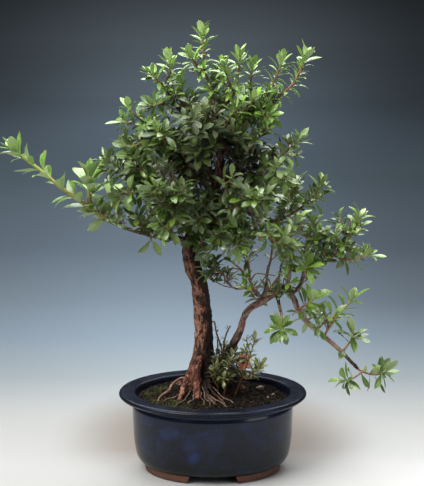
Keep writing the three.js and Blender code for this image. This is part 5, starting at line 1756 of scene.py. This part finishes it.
def bloom_body():
    """A faded funnel flower: ruffled petals round a short tube, and a few curled stamens."""
    bm = bmesh.new()
    bm.loops.layers.uv.new("blade")
    bm.loops.layers.float_color.new("growth")
    petal = blade_mesh("petal form", 1.4, 0.45, 0.2, 0.25, PETAL_WIDTHS, 0.05, (8, 6))
    axis = Vector(BLOOM["axis"]).normalized()
    side = axis.cross(Vector((0, 0, 1))).normalized()
    up = side.cross(axis)
    foot = Vector(BLOOM["centre"])
    for i in range(BLOOM["petals"]):
        turn = i / BLOOM["petals"] * math.pi * 2 + 0.3
        along = (spoke(side, up, turn) + axis * BLOOM["flare"]).normalized()
        normal = (axis - along * axis.dot(along)).normalized()
        basis = Matrix((along, normal.cross(along), normal)).transposed().to_4x4()
        length = BLOOM["length"] * lerp(0.9, 1.08, (i * 0.37) % 1)
        add_copy(bm, petal, Matrix.Translation(foot) @ basis @ Matrix.Scale(length, 4))
    for face in bm.faces:
        face.material_index = 0
    green = set(bm.faces)
    add_rod(bm, Line(BLOOM["stalk"]), BLOOM["radii"], 10, 8)
    for i in range(5):
        out = spoke(side, up, i * GOLDEN)
        way = [foot, foot + axis * 5 + out * 1.2, foot + axis * 9 + out * 3.4]
        add_rod(bm, Line(way), [0.22, 0.16, 0.3], 5, 6)
    add_rod(bm, Line(BLOOM["bud stalk"]), [0.8, 0.6], 6, 6)
    stalks = set(bm.faces)
    add_rod(bm, Line(BLOOM["bud"]), [0.7, 2.1, 1.9, 0.9], 8, 6)
    paint = bm.loops.layers.float_color["growth"]
    for face in stalks - green:
        face.material_index = 1
    dye(stalks - green, paint, STALK_TONE)
    bmesh.ops.recalc_face_normals(bm, faces=[f for f in bm.faces if f not in green])
    smooth(bm)
    return bm


# ---------------------------------------------------------------- stage

CAMERA = {"place": (-0.77, -1500, 582), "pitch": 77.59, "lens": 106.7}
FLOOR_REACH = 16.0
# Painted light on the sheet close by, left and right; then painted glows further back: from where to where
# this comes in (m), its level at the left edge and in the middle, and the share that is left at the right
# edge.
CLOSE_GLOW = (0.85, 1.12)
GLOWS = (((0.12, 0.7), (0.98, 1.36), 0.53), ((2.2, 3.6), (0.95, 2.85), 0.24))
POT_SHADE = ((0.014, 0.096), (0.128, 0.145))     # middle of the shade round the pot and its half sizes, m,
SHADE_TINT = (0.60, 0.53, 0.48)                 # and what it leaves of the sheet's colour
# Painted tones of the sheet, its light falling off with the distance behind the pot, as a share of 10 m.
FLOOR_TONES = ((0.0, (0.366, 0.367, 0.364)), (0.016, (0.282, 0.287, 0.284)), (0.032, (0.164, 0.189, 0.204)),
               (0.05, (0.108, 0.136, 0.166)), (0.072, (0.073, 0.093, 0.114)), (0.11, (0.048, 0.063, 0.081)),
               (0.185, (0.049, 0.067, 0.082)), (0.28, (0.088, 0.118, 0.150)), (0.4, (0.120, 0.154, 0.186)),
               (0.62, (0.140, 0.172, 0.200)), (1.0, (0.096, 0.116, 0.132)))


def floor_material():
    """A pale sheet whose painted light falls off into slate grey far behind."""
    paint = Finish("studio floor", Roughness=0.9, Specular_IOR_Level=0.1)
    place = paint.coordinates()
    x, y, _ = paint.split(place)
    behind = paint.most(y, 0.0)
    colour = paint.ramp(paint.fit(behind, 0.0, 10.0), *FLOOR_TONES)
    # a wide painted glow stands behind the crown, and the right is painted lighter close by
    across = paint.math("DIVIDE", x, paint.plus(behind, 1.5))
    level = paint.fit(across, -0.14, 0.14, *CLOSE_GLOW)
    for (start, end), (low, high), fall in GLOWS:
        glow = paint.times(paint.fit(across, -0.17, -0.02, low, high, "SMOOTHSTEP"),
                           paint.fit(across, -0.005, 0.165, 1.0, fall, "SMOOTHSTEP"))
        level = paint.plus(level, paint.times(paint.fit(behind, start, end), paint.minus(glow, level)))
    # a painted shadow darkens the sheet round the pot's foot
    centre, half = POT_SHADE
    gap = paint.vector("SUBTRACT", place, (*centre, 0))
    far = paint.length(paint.vector("MULTIPLY", gap, (1 / half[0], 1 / half[1], 0)))
    shade = paint.times(paint.fit(far, 0.7, 1.55, 1.0, 0.0, "SMOOTHSTEP"), paint.fit(y, -0.03, 0.05))
    return paint.wear(Base_Color=paint.blend(shade, paint.scaled(colour, level), SHADE_TINT, "MULTIPLY"))


def area_light(name, place, aim, size, power, colour=(1, 1, 1)):
    data = bpy.data.lights.new(name, "AREA")
    data.shape, data.size, data.size_y = "RECTANGLE", size[0], size[1]
    data.energy, data.color = power, colour
    lamp = placed(name, data)
    lamp.location = place
    lamp.rotation_euler = (Vector(aim) - Vector(place)).to_track_quat("-Z", "Y").to_euler()


def set_stage():
    bm = bmesh.new()
    bmesh.ops.create_grid(bm, x_segments=8, y_segments=8, size=FLOOR_REACH)
    bmesh.ops.translate(bm, vec=(0, 0, -0.0003), verts=bm.verts)
    floor = placed("floor", mesh_of(bm, "floor", [floor_material()]))
    world = bpy.data.worlds.new("studio")
    bpy.context.scene.world = world
    world.use_nodes = True
    paint = Paint(world.node_tree)
    sky = paint.fit(paint.split(paint.coordinates("Generated"))[2], -0.1, 1.0)
    colour = paint.ramp(sky, (0.0, (0.10, 0.11, 0.12)), (0.25, (0.15, 0.16, 0.17)),
                        (0.7, (0.42, 0.43, 0.44)), (1.0, (0.75, 0.76, 0.76)))
    background = world.node_tree.nodes["Background"]
    paint.feed(background.inputs["Color"], colour)
    background.inputs["Strength"].default_value = 0.34
    area_light("key", (-1.05, -0.85, 1.65), (0, 0, 0.22), (1.3, 1.3), 62, (1.0, 0.985, 0.96))
    area_light("overhead", (0.05, 0.15, 1.9), (0, 0, 0.2), (1.8, 1.4), 56, (1.0, 1.0, 0.99))
    area_light("back", (0.1, 1.6, 1.85), (0, 0, 0.32), (2.2, 0.8), 40, (0.97, 0.99, 1.0))
    area_light("fill", (1.5, -1.1, 0.9), (0, 0, 0.2), (1.0, 1.0), 9, (0.97, 0.98, 1.0))
    data = bpy.data.cameras.new("camera")
    data.lens, data.sensor_width = CAMERA["lens"], 36
    data.clip_end = 60
    camera = placed("camera", data)
    camera.location = Vector(CAMERA["place"]) * MM + POT_MIDDLE
    camera.rotation_euler = (math.radians(CAMERA["pitch"]), 0, 0)
    bpy.context.scene.camera = camera
    bpy.context.scene.view_settings.view_transform = "Standard"


# ---------------------------------------------------------------- the whole

# How young the leaves of the young sprays are, then those of older sprays that are fresher than the rest,
# their lighter colour partly a painted highlight.
YOUTH = {"leader": 0.95, "crown_nw": 0.85, "crown_n": 0.85, "crown_e": 0.85, "crown_far": 0.85,
         "crown_w": 0.7, "long_left": 0.7, "crown_back": 0.6}
BRIGHTER = {"whorl": 0.5, "upright": 0.65, "mid_up": 0.75, "far_e": 0.6, "knob_e": 0.6, "low_a": 0.6,
            "low_b": 0.7, "spur_a": 0.7, "high_a": 0.5, "left_low_a": 0.6, "right_a": 0.6, "east_a": 0.55}
OTHER_YOUTH = 0.38
WOOD_SIDES = 6                          # points round a limb that leaves keep clear of


def room_of_wood():
    """Room that the wood, the stems and the bloom take, for the sprays' own leaves and for the added ones."""
    taken, crowd = Taken(), Crowd()
    wood = [(way, radii) for way, radii, _, _ in [*LIMBS.values(), *ROOTS.values()]]
    for way, radii in wood:
        taken.claim(way, [r + 0.6 for r in radii], "trunk")
    for name, shoots in SPRAYS.items():
        for way, _, _ in shoots:
            taken.claim(way, [CLEAR["stem"]] * 2, name)
    foot = Vector(BLOOM["centre"])
    taken.claim(BLOOM["stalk"], [2.5, 2.5], "bloom")
    taken.claim([foot, foot + Vector(BLOOM["axis"]) * 6], BLOOM["room"], "bloom")
    for way, radii in wood:
        line = Line(way)
        steps = math.ceil(line.length / 2.0)
        for i in range(steps + 1):
            point, _, side, up = line.at(i / steps)
            radius = max(between(radii, i / steps) - 0.8, 0)
            for k in range(WOOD_SIDES):
                crowd.add(point + spoke(side, up, k * 1.047) * radius)
    return taken, crowd


def build_plant():
    bark, shoot = bark_material(), twig_material()
    mature, fresh, shade_leaf = (leaf_material(name) for name in ("mature leaf", "young leaf", "shaded leaf"))
    bud_stuff = bud_material()
    bm, grain, young = wood_body()
    trunk = piece("trunk_wood", bm, [bark], "bark", "trunk")
    give_values(trunk, grain=grain, young=young)
    piece("fine_roots", fine_roots(), [root_material()], "bark")

    taken, crowd = room_of_wood()
    sprays = []
    for number, (name, shoots) in enumerate(SPRAYS.items()):
        spray = Spray(name, YOUTH.get(name, BRIGHTER.get(name, OTHER_YOUTH)), 500 + number)
        for leaf, t, line in grow_leaves(name, shoots, number + 1, taken):
            spray.face_sun(line)
            spray.add_leaf(leaf, t)
            settle(leaf, crowd)
        sprays.append((spray, shoots))
    forms = {name: blade_mesh(name + " leaf", *form) for name, form in LEAF_FORMS.items()}
    bud = ball_mesh("bud form", 1, 0.1, 5)

    def make(spray, leaf_stuff, *nodes):
        slot = "young_leaf" if leaf_stuff == fresh else "leaf"
        spray.make(forms, bud, [leaf_stuff, shoot, bud_stuff], slot, nodes)

    for spray, shoots in sprays:
        spray.fill(shoots, crowd)
        # suckers, and below the undergrowth, wear the shaded leaf: a darker, more olive copy of the leaf
        # colours, painted shade
        aged = shade_leaf if spray.name.startswith("sucker") else mature
        make(spray, fresh if spray.name in YOUTH else aged, "spray_" + spray.name)
    extra = [undergrowth(crowd), *(more_shoots(name, *what, crowd) for name, what in BETWEEN.items())]
    for number, (name, parts) in enumerate(INNER.items()):
        extra.append(fill_limbs(name, parts, crowd, 900 + number))
    own = {"undergrowth": shade_leaf, "mid_between": fresh, "crown_between": fresh}
    for spray in extra:
        make(spray, own.get(spray.name, mature))
    piece("bloom_flower", bloom_body(), [petal_material(), shoot], "petal", "bloom")


def build_pot():
    piece("pot_glazed", pot_body(), [glaze_material()], "glaze", "pot")
    piece("pot_feet", pot_feet(), [clay_material()], "glaze", "pot")
    piece("soil_bed", soil_body(), [soil_material()], "soil", "soil")
    crumbs = crumb_material()
    piece("soil_grains", soil_grains(), [crumbs], "soil", "soil")
    piece("moss", moss_tufts(), [crumbs], "soil")
    piece("pebbles", pebbles(), [pebble_material()], "soil")
    plastic = screen_material()
    for name in ("screen_left", "screen_right"):
        node = frame["nodes"][name]
        node.data.materials.clear()
        node.data.materials.append(plastic)


set_stage()
build_pot()
build_plant()
